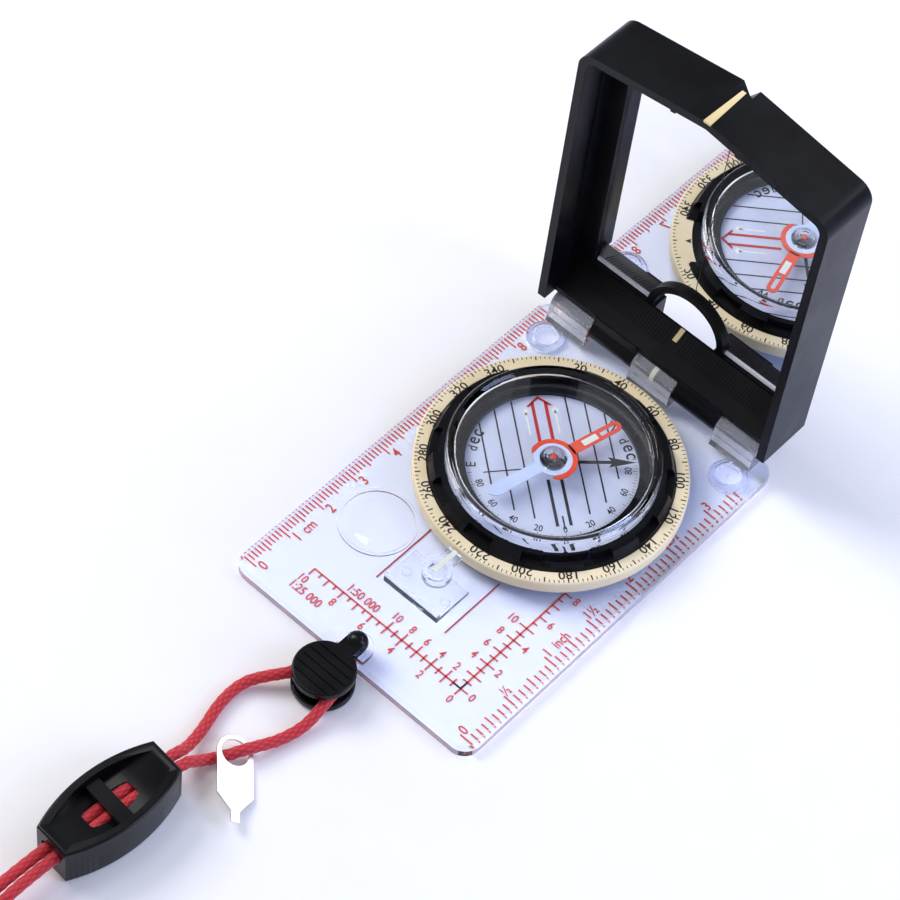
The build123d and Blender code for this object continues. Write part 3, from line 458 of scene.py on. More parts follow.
@dataclass(frozen=True)
class Woven:
    """A braided polyester sheath. The attribute weave is 1 on a strand's crown and 0 between strands, and the
    colour darkens from crown to gap as painted shade.
    """

    name: str
    crown: str
    valley: str

    def build(self) -> bpy.types.Material:
        """Returns: the material."""
        material, tree, output = fresh(self.name)
        weave = add_node(tree, "ShaderNodeAttribute", {"attribute_name": "weave"}, {})
        fibre = grain(tree, 0.12, 4.0)
        # The colour runs from the crown's red to a darker red in the gaps: painted shade between the strands,
        # varied by the fibre grain.
        tone = add_node(tree, "ShaderNodeMath", {"operation": "MULTIPLY"},
                        {0: weave.outputs["Fac"], 1: spread(tree, fibre, 0.7, 1.1)})
        shader = add_node(tree, "ShaderNodeBsdfPrincipled", {},
                          {"Base Color": blended(tree, tone.outputs[0], self.valley, self.crown),
                           "Roughness": spread(tree, fibre, 0.62, 0.8),
                           "Normal": bumped(tree, fibre, 0.05, 0.5), "Sheen Weight": 0.35,
                           "Sheen Roughness": 0.4})
        tree.links.new(shader.outputs["BSDF"], output.inputs["Surface"])
        return material


class Finishes:
    """Every finish of the compass, built once."""

    def __init__(self) -> None:
        """Builds the materials."""
        self.clear_plastics()
        self.black_plastics()
        self.pale_plastics()
        self.paints()
        self.metals()
        # Braided polyester cord: strands crossing in small diamonds, dull red, with painted shade darkening
        # the gaps between strands.
        self.cord = Woven("braided_red_cord", "EC3A42", "A51C2A").build()

    def clear_plastics(self) -> None:
        """Acrylic, silicone and the capsule's liquid, each with a faint ripple 7 mm long."""
        # Moulded acrylic, polished in the mould: glass-clear, and a little grey-blue through its thickness.
        self.acrylic = Clear("clear_acrylic", "ECEFF6", "E7EAF4", ACRYLIC_IOR, 0.0, 0.004).build()
        # Thin moulded acrylic of the capsule: clearer than the plate, and hardly tinted.
        self.capsule = Clear("clear_capsule_acrylic", "FBFCFE", "FAFBFE", ACRYLIC_IOR, 0.0, 0.002).build()
        # Light oil that damps the needle: bends light almost as the capsule does, so its walls fade away.
        self.liquid = Clear("damping_liquid", "FDFEFF", "FCFDFF", 1.45, 0.0, 0.0).build()
        # Moulded silicone: clear, but soft-looking from its slightly dull skin.
        self.silicone = Clear("clear_silicone", "F1F3FA", "E4E8F4", 1.42, 0.12, 0.01).build()
        # Drawn edge of the plate: smooth but not polished, so it glows with a faint lavender.
        self.edge = Frosted("drawn_acrylic_edge", "EADDEC", 0.5, 0.22).build()
        # Acrylic that shrank a little in the thick knuckles, so that they are paler than the flat plate.
        self.knuckle = Frosted("thick_moulded_acrylic", "F3F5FB", 0.8, 0.04).build()

    def black_plastics(self) -> None:
        """ABS of the lid and the dial, nylon of the clip and cord lock, and rubber."""
        # Black ABS from a spark-eroded mould: a fine grain that scatters a blue-grey sheen. The grain is
        # drawn at 0.28 mm, coarser than the real 0.05 mm, so that it shows.
        self.abs = Moulded("moulded_black_abs", "0E0F12", "070709", 0.28, 0.38, 0.28, 0.01, ior=1.42,
                           specular=0.22, sheen=0.13, sheen_tint="6480F0").build()
        # Black glass-filled nylon from a smooth mould: closer reflections than the lid's.
        self.nylon = Moulded("moulded_black_nylon", "0C0D10", "060608", 0.2, 0.3, 0.4, 0.006, ior=1.46,
                             specular=0.25, sheen=0.05, sheen_tint="7C8FE6").build()
        # Moulded rubber of the seal and the coil's band: dull charcoal.
        self.rubber = Moulded("black_rubber", "1B1B1C", "121213", 0.6, 0.75, 0.2, 0.012).build()

    def pale_plastics(self) -> None:
        """Plastics of the scale ring and the needle, the printed film, and the white bars of the mirror's
        painted edge highlight.
        """
        # Ivory acetal: warm and slightly translucent, with a soft gloss.
        self.ivory = Moulded("ivory_acetal", "F9EAC6", "F2DFB4", 0.38, 0.5, 0.5, 0.004,
                             drift_mm=14.0).build()
        # Pale moulded plastic of the needle's south half: cool and softly glossy.
        self.pale = Moulded("pale_needle_plastic", "D3DFF3", "C3D2EA", 0.3, 0.42, 0.6, 0.003).build()
        # Printed film under the needle: cold white, as the light under the capsule makes it.
        self.film = Moulded("printed_white_film", "CFD4E2", "C3CADB", 0.4, 0.5, 1.2, 0.002,
                            drift_mm=6.0).build()
        # White bars along the mirror's lower edge: a painted highlight for the light off the mirror's bevelled
        # edge, the brightest line in the lid.
        self.sill = Moulded("painted_mirror_edge_highlight", "F6F8FE", "EDF1FA", 0.4, 0.5, 0.4, 0.002).build()

    def paints(self) -> None:
        """Pad-printed inks, lacquer and luminous paints."""
        # Pad-printed inks: thin and matt, with a tone that wanders a little with the ink's thickness.
        self.black_ink = Moulded("black_pad_print", "17161A", "0D0C0F", 0.5, 0.65, 0.3, 0.004).build()
        self.red_ink = Moulded("red_pad_print", "EE5A38", "E24A2A", 0.5, 0.6, 0.3, 0.004).build()
        self.deep_red = Moulded("deep_red_pad_print", "C8251E", "B31A18", 0.45, 0.55, 0.3, 0.004).build()
        # Sprayed lacquer of the north half: saturated orange under a thin gloss.
        self.orange = Moulded("orange_needle_lacquer", "F0532B", "E2431F", 0.3, 0.4, 0.6, 0.003,
                              coat=0.4).build()
        # Luminous compound: chalky, pale, slightly green.
        self.luminous = Moulded("luminous_compound", "EEF1E4", "DFE3D2", 0.55, 0.7, 0.18, 0.01).build()
        # Luminous paint in the lid's marks: chalky too, but cream.
        self.cream = Moulded("cream_luminous_paint", "F2DFAE", "E4CC92", 0.45, 0.6, 0.2, 0.01).build()

    def metals(self) -> None:
        """Silvered glass, ground steel, plated steel and turned brass."""
        # Silvered glass: a near-perfect reflection, a little cold.
        self.mirror = Moulded("silvered_mirror", "FCFDFE", "F8FAFD", 0.0, 0.02, 1.5, 0.0,
                              metallic=1.0).build()
        # Ground steel of the pins and magnets: grey, with tight highlights.
        self.steel = Moulded("ground_steel", "8F9196", "7C7E84", 0.2, 0.32, 0.2, 0.003, metallic=1.0).build()
        # Satin nickel on the pressed key: nearly white where it meets the light.
        self.nickel = Moulded("satin_nickel_plate", "F4F4F2", "E9E9E6", 0.3, 0.42, 0.3, 0.003,
                              metallic=1.0).build()
        # Turned brass of the declination screw: warm and bright.
        self.brass = Moulded("turned_brass", "D9B868", "C4A254", 0.22, 0.34, 0.25, 0.003,
                             metallic=1.0).build()


# ---- pieces ----
def settle(obj: bpy.types.Object, body: Body, material: bpy.types.Material) -> bpy.types.Object:
    """Gives a piece its material and body.

    Args:
        obj: the piece, at the origin.
        body, material: what it moves with and is made of.
    Returns: the piece.
    """
    obj.data.materials.clear()
    obj.data.materials.append(material)
    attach(obj, body.value)
    log.info("%s: %d faces on %s", obj.name, len(obj.data.polygons), body.value)
    return obj


def sharpen(mesh: bpy.types.Mesh, angle: float) -> None:
    """Args: mesh, angle in degrees. Shades it smooth, with edges past the angle kept sharp."""
    mesh.shade_smooth()
    mesh.set_sharp_from_angle(angle=radians(angle))


def piece(name: str, patch: Patch, body: Body, material: bpy.types.Material,
          sharp: float = PIECE_SHARP) -> bpy.types.Object:
    """Makes a piece from a patch.

    Args:
        name, patch: the piece's name and its shape in millimetres.
        body, material: as settle takes them.
        sharp: edges turned by more degrees than this stay sharp.
    Returns: the piece.
    """
    mesh = bpy.data.meshes.new(name)
    mesh.from_pydata(Space.metres(patch.points).tolist(), [], patch.faces)
    mesh.validate()
    sharpen(mesh, sharp)
    obj = bpy.data.objects.new(name, mesh)
    bpy.context.scene.collection.objects.link(obj)
    return settle(obj, body, material)


def softened(name: str, node: str, bevel: float, body: Body, material: bpy.types.Material,
             segments: int = 2, gap: float = 0.0, shape: Callable | None = None) -> bpy.types.Object:
    """A copy of a CAD node with its triangles merged and its edges rounded. It replaces the node.

    With a gap, each point goes to middle + (point - middle) (1 - 2 gap / side), side by side of its box.

    Args:
        name, node: the new piece, and the node that it stands for.
        bevel: width of the rounding in millimetres.
        body, material: as settle takes them.
        segments: of the rounding.
        gap: air left all round it, so that its clear faces don't lie on its neighbour's.
        shape: takes its points in millimetres, N by 3, and returns them moved.
    Returns: the piece.
    """
    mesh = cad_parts[node].data.copy()
    work = bmesh.new()
    work.from_mesh(mesh)
    bmesh.ops.remove_doubles(work, verts=work.verts, dist=MERGE)
    if shape:
        points = Space.metres(shape(Space.millimetres(np.array([v.co for v in work.verts]))))
        for vertex, point in zip(work.verts, points):
            vertex.co = point
    bmesh.ops.dissolve_limit(work, angle_limit=radians(FLAT), verts=work.verts, edges=work.edges)
    if gap:
        points = np.array([v.co for v in work.verts])
        low, high = points.min(0), points.max(0)
        points = (low + high) / 2 + (points - (low + high) / 2) * (1 - 2 * gap * MM / (high - low))
        for vertex, point in zip(work.verts, points):
            vertex.co = point
    work.to_mesh(mesh)
    work.free()
    if "custom_normal" in mesh.attributes:
        mesh.attributes.remove(mesh.attributes["custom_normal"])
    sharpen(mesh, NODE_SHARP)
    obj = bpy.data.objects.new(name, mesh)
    bpy.context.scene.collection.objects.link(obj)
    edge = obj.modifiers.new("edge", "BEVEL")
    edge.width, edge.segments, edge.limit_method = bevel * MM, segments, "ANGLE"
    edge.angle_limit, edge.use_clamp_overlap, edge.harden_normals = radians(PIECE_SHARP), True, True
    settle(obj, body, material)
    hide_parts(node)
    return obj


def repaint(node: str, material: bpy.types.Material) -> None:
    """Args: node, material. Gives a CAD node that keeps its shape a better material."""
    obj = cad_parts[node]
    obj.data.materials.clear()
    obj.data.materials.append(material)


# ---- cords ----
@dataclass
class Route:
    """A cord's centreline as the control points of one smooth spline, in millimetres."""

    points: list

    def line(self, step: float) -> np.ndarray:
        """Args: step in millimetres. Returns: even points along the spline, N by 3."""
        curve = bpy.data.curves.new("route", "CURVE")
        curve.dimensions = "3D"
        spline = curve.splines.new("NURBS")
        spline.points.add(len(self.points) - 1)
        for place, point in zip(spline.points, self.points):
            place.co = (*(v * MM for v in point), 1.0)
        spline.order_u = 3
        spline.use_endpoint_u = True
        spline.resolution_u = 12
        holder = bpy.data.objects.new("route", curve)
        bpy.context.scene.collection.objects.link(holder)
        mesh = bpy.data.meshes.new_from_object(holder)
        points = np.zeros(len(mesh.vertices) * 3)
        mesh.vertices.foreach_get("co", points)
        points = points.reshape(-1, 3) / MM
        bpy.data.objects.remove(holder)
        bpy.data.curves.remove(curve)
        bpy.data.meshes.remove(mesh)
        gone = np.concatenate([[0], np.cumsum(np.linalg.norm(np.diff(points, axis=0), axis=1))])
        count = int(gone[-1] / step) + 1
        even = np.linspace(0, gone[-1], count)
        return np.stack([np.interp(even, gone, points[:, k]) for k in range(3)], axis=1)


LOCK_CENTRE = (-7.4, -120.0)
LOCK_HEADING = 4.6                 # degrees clockwise from +Y
LOCK_CORD_HEIGHT = 6.2             # of the strands in the cord lock
LOCK_CORD_HALF = 1.3               # half the distance between them


def lock_point(along: float, side: int) -> tuple[float, float, float]:
    """Args: along, from the cord lock's middle; side, 1 or -1. Returns: a point of that strand in it."""
    heading = radians(LOCK_HEADING)
    across = side * LOCK_CORD_HALF
    x = LOCK_CENTRE[0] + along * sin(heading) + across * cos(heading)
    y = LOCK_CENTRE[1] + along * cos(heading) - across * sin(heading)
    return (x, y, LOCK_CORD_HEIGHT)


@dataclass
class Lanyard:
    """The red neck loop: its cord, clip, key tag, cord lock and the coil of what isn't in use."""

    finishes: Finishes
    diameter: float = 2.5
    strands: int = 7
    strand_length: float = 2.3
    relief: float = 0.14
    coil_centre: tuple = (-16.5, -177.0)
    coil_columns: tuple = (11.55, 14.1, 16.65)
    coil_layers: tuple = (1.8, 4.25, 6.7)
    coil_start: float = 2.0
    coil_end: float = 364.0
    outward_turns: float = 5.28
    turn_points: int = 16
    bight_radius: float = 5.0
    way_in: tuple = ((-0.6, -165.6, 1.3), (1.4, -170.6, 1.4))
    hidden_cord: tuple = (0.5, 28)
    seen_cord: tuple = (0.28, 42)
    front_points: list = field(default_factory=lambda: [
        lock_point(0.0, 1), lock_point(17.0, 1), (-4.2, -99.8, 3.0), (-3.0, -96.3, 1.3),
        (-1.6, -94.2, 1.45), (0.4, -91.4, 2.75), (1.7, -88.4, 2.2), (3.4, -84.2, 1.4), (4.8, -78.6, 1.6),
        (4.6, -73.4, 3.25), (3.4, -65.1, 3.25), (-3.4, -65.1, 3.25), (-4.9, -72.2, 3.25), (-7.9, -75.9, 2.9),
        (-11.1, -80.0, 1.4), (-11.0, -86.6, 1.3), (-8.9, -93.4, 1.5), (-7.6, -99.4, 3.0),
        lock_point(17.0, -1), lock_point(0.0, -1)])
    out_points: list = field(default_factory=lambda: [
        lock_point(0.0, -1), lock_point(-25.0, -1), (-11.2, -150.8, 1.7), (-8.9, -156.2, 1.3),
        (-5.0, -160.6, 1.3), (-1.4, -164.8, 1.3)])
    back_points: list = field(default_factory=lambda: [
        lock_point(0.0, 1), lock_point(-25.0, 1), (-8.0, -150.4, 1.7), (-5.4, -155.4, 1.3),
        (-1.4, -159.8, 1.3), (1.9, -165.6, 1.3), (3.2, -172.4, 1.3)])

    def winding(self, cells: list, start: float, turns: float, way: int) -> np.ndarray:
        """Turns of a coil, one after the other.

        At t turns the angle is start + 360 way t. The radius and height are those of the cell that
        t is in, and pass to the next cell's by a smooth step over the last quarter of a turn.
        Args:
            cells: (column, layer) of each turn.
            start, turns, way: first angle in degrees, number of turns, and 1 for anticlockwise.
        Returns: control points.
        """
        t = np.arange(0, turns, 1 / self.turn_points)
        index = np.minimum(t.astype(int), len(cells) - 1)
        after = np.minimum(index + 1, len(cells) - 1)
        share = smooth_step((t - index - 0.75) / 0.25)
        column = np.array([self.coil_columns[c] for c, _ in cells])
        layer = np.array([self.coil_layers[l] for _, l in cells])
        radius = column[index] * (1 - share) + column[after] * share
        height = layer[index] * (1 - share) + layer[after] * share
        reach = radius * 2 / (1 + cos(2 * pi / self.turn_points) * 0.5 + 0.5)
        angle = np.radians(start + 360 * way * t)
        return np.stack([self.coil_centre[0] + reach * np.cos(angle),
                         self.coil_centre[1] + reach * np.sin(angle), height], axis=1)

    def bight(self) -> np.ndarray:
        """The fold in the coil's eye where the strand turns back.

        It is two arcs of one radius, each the other's mirror through the coil's middle. Each swings
        from the inner column's tangent by beta, where cos beta = -radius / (column - radius).
        Returns: control points.
        """
        arm = self.coil_columns[0] - self.bight_radius
        beta = acos(-self.bight_radius / arm)
        phi = np.linspace(0.12, 1.0, 5) * beta
        reach = self.bight_radius * 1.06
        first = np.stack([arm + reach * np.cos(phi), -reach * np.sin(phi)], axis=1)
        flat = np.concatenate([first, -first[::-1]])
        height = np.linspace(self.coil_layers[0], self.coil_layers[1], len(flat))
        return np.column_stack([flat + self.coil_centre, height])

    def ramp(self, start: float, end: float) -> np.ndarray:
        """The last part of the coil's outside turn: out past the coil, then down beside it.

        Radius and height go to their last values by smooth steps, the radius first.
        Args: start, end, angles in degrees.
        Returns: control points.
        """
        share = np.linspace(0, 1, 7)
        radius = self.coil_columns[2] + 3.4 * smooth_step(share * 1.7)
        height = self.coil_layers[2] + (1.4 - self.coil_layers[2]) * smooth_step(share * 1.5 - 0.5)
        angle = np.radians(start + (end - start) * share)
        return np.stack([self.coil_centre[0] + radius * np.cos(angle),
                         self.coil_centre[1] + radius * np.sin(angle), height], axis=1)

    def neck_route(self) -> Route:
        """Returns: out of the cord lock, round the coil, back through its eye and home again."""
        inward = self.winding([(2, 0), (1, 0), (0, 0)], self.coil_start, 3.0, -1)
        outward = self.winding([(0, 1), (0, 2), (1, 2), (1, 1), (2, 1), (2, 2)], 180.0,
                               self.outward_turns, 1)
        # The ramp takes over 0.02 of a turn after the outward winding, counted from its fifth full turn.
        ramp = self.ramp(180.0 + 360 * (self.outward_turns + 0.02 - 5), self.coil_end)
        points = self.out_points[:-1] + list(self.way_in)
        points += inward.tolist() + self.bight().tolist() + outward.tolist() + ramp[1:-1].tolist()
        return Route(points + self.back_points[::-1])

    def sheath(self, line: np.ndarray, around: int) -> tuple[Patch, np.ndarray]:
        """Braided tube round a centreline.

        The ring at length s has radius R less the relief, plus the relief times the weave, which is
        |cos(n a / 2 + pi s / p)| |cos(n a / 2 - pi s / p)| at the angle a, for n strands and pitch p.
        Args:
            line: even points of the centreline.
            around: points in each ring.
        Returns: the tube, closed at its ends, and the weave at each of its points.
        """
        tangent = np.gradient(line, axis=0)
        tangent /= np.linalg.norm(tangent, axis=1, keepdims=True)
        side = np.cross(tangent, [0.0, 0.0, 1.0])
        side /= np.linalg.norm(side, axis=1, keepdims=True)
        up = np.cross(side, tangent)
        step = np.linalg.norm(line[1] - line[0])
        s = np.arange(len(line))[:, None] * step
        a = np.linspace(0, 2 * pi, around, endpoint=False)[None]
        twist = pi * s / self.strand_length
        weave = np.abs(np.cos(self.strands * a / 2 + twist) * np.cos(self.strands * a / 2 - twist))
        radius = self.diameter / 2 - self.relief * (1 - weave)
        points = (line[:, None] + side[:, None] * (radius * np.cos(a))[..., None]
                  + up[:, None] * (radius * np.sin(a))[..., None])
        faces = grid_faces(len(line), around, False, True)[:, ::-1].tolist()
        last = (len(line) - 1) * around
        faces += [list(range(around)), list(range(last + around - 1, last - 1, -1))]
        return Patch(points.reshape(-1, 3), faces), weave.ravel()

    def cord(self, name: str, route: Route, mesh: tuple[float, int], exit_point: tuple, nodes: list,
             extras: list) -> None:
        """Args:
            name, route: the piece and its line.
            mesh: spacing of the rings, and points in each.
            exit_point: where it comes out, in millimetres.
            nodes: CAD nodes that it replaces; extras: pieces on it, not used.
        """
        step, around = mesh
        line = route.line(step)
        tube, weave = self.sheath(line, around)
        obj = piece(name, tube, Body.LANYARD, self.finishes.cord, 60.0)
        obj.data.attributes.new("weave", "FLOAT", "POINT").data.foreach_set("value", weave.astype(np.float32))
        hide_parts(*nodes)
        tuple(Space.metres(np.array(exit_point)))
        Space.metres(line).tolist()

    def build(self) -> None:
        """Makes the lanyard's pieces."""
        black = self.finishes.nylon
        lower = softened("clip_base_disc", "clip_lower", 0.15, Body.LANYARD, black)
        upper = softened("clip_ribbed_disc", "clip_upper", 0.12, Body.LANYARD, black)
        lock = softened("cord_lock_barrel", "cord_slider", 0.3, Body.SLIDER, black, 3)
        tag = softened("flat_key", "key_tag", 0.1, Body.LANYARD, self.finishes.nickel)
        tie = softened("coil_band", "coil_tie", 0.15, Body.LANYARD, self.finishes.rubber)
        self.cord("lanyard_front_cord", Route(self.front_points), self.seen_cord, self.front_points[0],
                  ["cord_loop"], [lower, upper, tag])
        self.cord("lanyard_neck_cord", self.neck_route(), self.hidden_cord, self.out_points[0],
                  ["cord_tail_out", "cord_tail_back", "lanyard_coil"], [lock, tie])


# ---- camera, lamps and floor ----
@dataclass(frozen=True)
class Lamp:
    """A square or oblong soft lamp that faces a point."""

    name: str
    place: tuple
    aim: tuple
    width: float
    length: float
    power: float
    colour: str

    def build(self) -> None:
        """Hangs the lamp: place and aim are in millimetres, its sides in metres, its power in watts."""
        data = bpy.data.lights.new(self.name, "AREA")
        data.shape, data.size, data.size_y = "RECTANGLE", self.width, self.length
        data.energy, data.color = self.power, linear(self.colour)[:3]
        obj = bpy.data.objects.new(self.name, data)
        bpy.context.scene.collection.objects.link(obj)
        start, end = (Vector(Space.metres(np.array(point))) for point in (self.place, self.aim))
        turn = (end - start).to_track_quat("-Z", "Y").to_matrix().to_4x4()
        obj.matrix_world = Matrix.Translation(start) @ turn


@dataclass
class Studio:
    """A pale floor, soft lamps and the camera."""

    eye: tuple = (203.3, -326.2, 539.3)
    forward: tuple = (-0.33664, 0.47865, -0.81090)
    down: tuple = (0.58332, -0.57003, -0.57863)
    lens: float = 126.75
    sensor: float = 36.0
    clip: tuple = (0.01, 10.0)
    floor_gap: float = 0.06
    floor_half: float = 2500.0
    sky_colour: str = "F3F5FF"
    sky_strength: float = 0.42
    lamps: tuple = (
        Lamp("key", (-640, -120, 560), (0, 0, 0), 0.4, 0.4, 4.0, "FFFDFA"),
        Lamp("rim", (160, 640, 540), (0, 20, 30), 0.6, 0.25, 2.2, "F4F6FF"),
        Lamp("side", (560, 160, 300), (20, 20, 40), 0.3, 0.5, 2.6, "B9CAFF"),
        Lamp("top", (-236, -50, 658), (0, 20, 0), 0.2, 0.2, 0.5, "FFFFFF"))

    def camera(self) -> None:
        """Places the camera: its own Z looks back along forward, and its Y is up."""
        data = bpy.data.cameras.new("camera")
        data.lens, data.sensor_width = self.lens, self.sensor
        data.clip_start, data.clip_end = self.clip
        obj = bpy.data.objects.new("camera", data)
        bpy.context.scene.collection.objects.link(obj)
        back = -Vector(self.forward).normalized()
        up = -Vector(self.down).normalized()
        right = up.cross(back)
        turn = Matrix((right, up, back)).transposed()
        obj.matrix_world = Matrix.Translation(Space.metres(np.array(self.eye))) @ turn.to_4x4()
        bpy.context.scene.camera = obj

    def floor(self) -> None:
        """Lays a white table just under the compass."""
        half = self.floor_half
        mesh = bpy.data.meshes.new("floor")
        corners = np.array([[-half, -half, 0], [half, -half, 0], [half, half, 0], [-half, half, 0]], float)
        corners[:, 2] = -self.floor_gap
        mesh.from_pydata(Space.metres(corners).tolist(), [], [[0, 1, 2, 3]])
        floor = bpy.data.objects.new("floor", mesh)
        bpy.context.scene.collection.objects.link(floor)
        # Matt white laminate: it scatters the lamps, and shows no reflection.
        mesh.materials.append(Moulded("white_table", "FBFBFD", "F9F9FC", 0.8, 0.9, 2.0, 0.0).build())

    def build(self) -> None:
        """Makes the floor, the lamps, the soft light all round and the camera."""
        self.floor()
        world = bpy.data.worlds.new("studio")
        bpy.context.scene.world = world
        world.use_nodes = True
        sky = world.node_tree.nodes["Background"]
        sky.inputs["Color"].default_value = linear(self.sky_colour)
        sky.inputs["Strength"].default_value = self.sky_strength
        for lamp in self.lamps:
            lamp.build()
        scene = bpy.context.scene
        scene.view_settings.view_transform = "Standard"
        # Light passes many clear walls: plate, bracket, capsule, liquid, hub, and all again in the mirror.
        scene.cycles.transparent_max_bounces = 24
        scene.cycles.transmission_bounces = 14
        scene.cycles.max_bounces = 16
        self.camera()


# ---- baseplate ----
@dataclass
class Baseplate:
    """Clear ruled plate with its printed scales, grip pads, index bracket and hinge pin."""

    finishes: Finishes
    print_low: float = 0.05
    print_high: float = 0.08
    fine: float = 0.36
    text: float = 2.45
    small: float = 2.0
    inch: float = 25.4
    zero_margin: float = 3.5
    measure_corner: tuple = (20.4, -50.2)
    measure_across: float = 40.0
    measure_up: float = 32.0
    measure_step: float = 2.0
    long_tick: float = 1.9
    short_tick: float = 1.1
    both_sides: int = 10
    line_x: float = 9.4
    line_y: tuple = (-42.8, -26.0)
    line_width: float = 0.32
    pad_neck: float = 2.9
    pad_foot: float = 1.1
    hinge_zone: float = 9.5
    wall_reach: float = 0.3

    def ruler(self, x: float, way: int, zero: float, end: float, step: float, lengths: list) -> Patch:
        """Ticks along Y. Tick k stands at zero + k step, and takes the first length whose count divides k.

        Args:
            x, way: where the ticks start, and 1 or -1 for the side that they run to.
            zero, end, step: first place, last place and spacing.
            lengths: (count, length) from coarse to fine.
        Returns: the ticks.
        """
        k = np.arange(int((end - zero) / step + 1e-6) + 1)
        y = zero + k * step
        long = np.zeros(len(k))
        for count, length in reversed(lengths):
            long[k % count == 0] = length
        starts = np.stack([np.full(len(k), x), y], axis=1)
        ends = starts + np.stack([way * long, 0 * y], axis=1)
        return bars(starts, ends, self.fine, self.print_low, self.print_high)

    def number(self, words: str, x: float, y: float, height: float, turn: float = 0.0) -> Patch:
        """Args: words, x, y, height, turn. Returns: printed lettering under the plate."""
        return Lettering.place(words, height, (x, y), turn, self.print_low, self.print_high)

    def measure(self) -> list:
        """Two ruled arms of the map measure, with ticks each 2 mm and numbers on both sides.

        A tick is long when its number is even, and past the tenth it stands on one side only.
        Returns: the arms, ticks and numbers.
        """
        (x0, y0), step, levels = self.measure_corner, self.measure_step, (self.print_low, self.print_high)
        across = np.arange(int(self.measure_across / step) + 1)
        below = np.where(across % 2 == 0, self.long_tick, self.short_tick)
        above = np.where(across > self.both_sides, 0.0, below) + 0.01
        x = x0 - step * across
        up = np.arange(int(self.measure_up / step) + 1)
        right = np.where(up % 2 == 0, self.long_tick, self.short_tick)
        left = np.where(up > self.both_sides, 0.0, right) + 0.01
        y = y0 + step * up
        corners = [[x0 - self.measure_across, y0], [x0, y0 + self.measure_up]]
        parts = [bars(np.stack([x, y0 - below], 1), np.stack([x, y0 + above], 1), self.fine, *levels),
                 bars(np.stack([x0 - left, y], 1), np.stack([x0 + right, y], 1), self.fine, *levels),
                 bars([[x0, y0], [x0, y0]], corners, self.fine * 1.1, *levels)]
        for value in range(0, 11, 2):
            parts.append(self.number(str(value), x0 - 2 * step * value, y0 - 3.3, self.small))
            if value:
                parts.append(self.number(str(value), x0 - step * value, y0 + 3.4, self.small))
            if value > 2:
                parts.append(self.number(str(value), x0 - 3.5, y0 + step * value, self.small))
            if value <= 8:
                parts.append(self.number(str(value), x0 + 3.1, y0 + 2 * step * value, self.small))
        return parts

    def centimetres(self) -> list:
        """Returns: millimetre ticks and centimetre numbers along the left edge."""
        low, high = Space.box("baseplate")
        zero = low[1] + self.zero_margin
        parts = [self.ruler(low[0] + 0.5, 1, zero, high[1] - 4.2, 1.0, [(10, 3.4), (5, 2.7), (1, 2.0)])]
        inner, after = low[0] + 4.6, 1.2
        for value in range(0, 10):
            parts.append(self.number(str(value), inner, zero + 10.0 * value + after, self.text, 90.0))
        parts.append(self.number("cm", inner + 0.4, zero + 10.0 + after + 3.5, self.text * 0.66, 90.0))
        return parts

    def inches(self) -> list:
        """Returns: ticks each sixteenth of an inch and a number each half inch, along the right edge."""
        low, high = Space.box("baseplate")
        zero, edge, after = low[1] + self.zero_margin + 0.2, high[0] - 1.6, 1.2
        parts = [self.ruler(edge, -1, zero, high[1] - 12.0, self.inch / 16,
                            [(16, 3.2), (8, 2.9), (4, 2.4), (1, 1.8)])]
        for half in range(0, 7):
            words = str(half // 2) if half % 2 == 0 else f"{half // 2 or ''}½"
            along = zero + self.inch * half / 2 + after + 1.0 * (len(words) - 1)
            parts.append(self.number(words, edge - 3.5, along, self.text * 0.95, 90.0))
        along = zero - 0.2 + self.inch + after + 4.4
        parts.append(self.number("inch", edge - 3.5, along, self.text * 0.9, 90.0))
        return parts

    def prints(self) -> None:
        """The scales on the plate's underside, seen up through it."""
        centimetres, inches = self.centimetres(), self.inches()
        ratios = [self.number("1:25 000", -16.7, -55.8, 2.1), self.number("1:50 000", -7.6, -48.3, 2.1)]
        material = self.finishes.red_ink
        piece("centimetre_scale_print", Patch.join(centimetres), Body.PLATE, material)
        piece("inch_scale_print", Patch.join(inches), Body.PLATE, material)
        piece("map_measure_print", Patch.join(self.measure() + ratios), Body.PLATE, material)
        start, end = self.line_y
        lines = bars([[-self.line_x, start], [self.line_x, start]], [[-self.line_x, end], [self.line_x, end]],
                     self.line_width, self.print_low, self.print_high)
        piece("direction_lines_print", lines, Body.PLATE, self.finishes.deep_red)

    def pads(self) -> None:
        """Clear grip pads: a ring and a lower button, each turned from a rounded profile."""
        low, high = Space.box("grip_pads")
        radius = (high[1] - low[1]) / 2
        gap, neck = AIR_GAP, self.pad_neck
        foot, top, dish = self.pad_foot - gap, high[2] - gap, high[2] - 0.4
        profile = rounded([(0.05, 0.0), (radius - gap, 0.0), (radius - gap, foot), (neck - gap, foot),
                           (neck - gap, top), (2.2, top), (2.0, dish), (0.05, dish)],
                          [0, 0.1, 0.1, 0.05, 0.25, 0.2, 0.2, 0], 3)
        y = (low[1] + high[1]) / 2
        both = Patch.join([lathe(profile, 72, (x, y)) for x in (low[0] + radius, high[0] - radius)])
        obj = piece("grip_pads_clear", both, Body.PLATE, self.finishes.silicone)
        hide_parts("grip_pads")

    def finish_faces(self, obj: bpy.types.Object) -> None:
        """Gives the front and right walls the drawn finish, and the hinge knuckles the thick one.

        A face is a wall's if it stands upright within a reach of the outline, and a knuckle's if it is
        over the plate's top near the hinge.
        Args: obj, the plate.
        """
        obj.data.materials.append(self.finishes.edge)
        obj.data.materials.append(self.finishes.knuckle)
        low, high = Space.box("baseplate")
        top = Space.box("grip_pads")[1][2]
        for face in obj.data.polygons:
            x, y, z = Space.millimetres(np.array(face.center))
            if z > top + 0.05 and y > high[1] - self.hinge_zone:
                face.material_index = 2
            elif abs(face.normal.z) < 0.3 and min(high[0] - x, y - low[1]) < self.wall_reach:
                face.material_index = 1

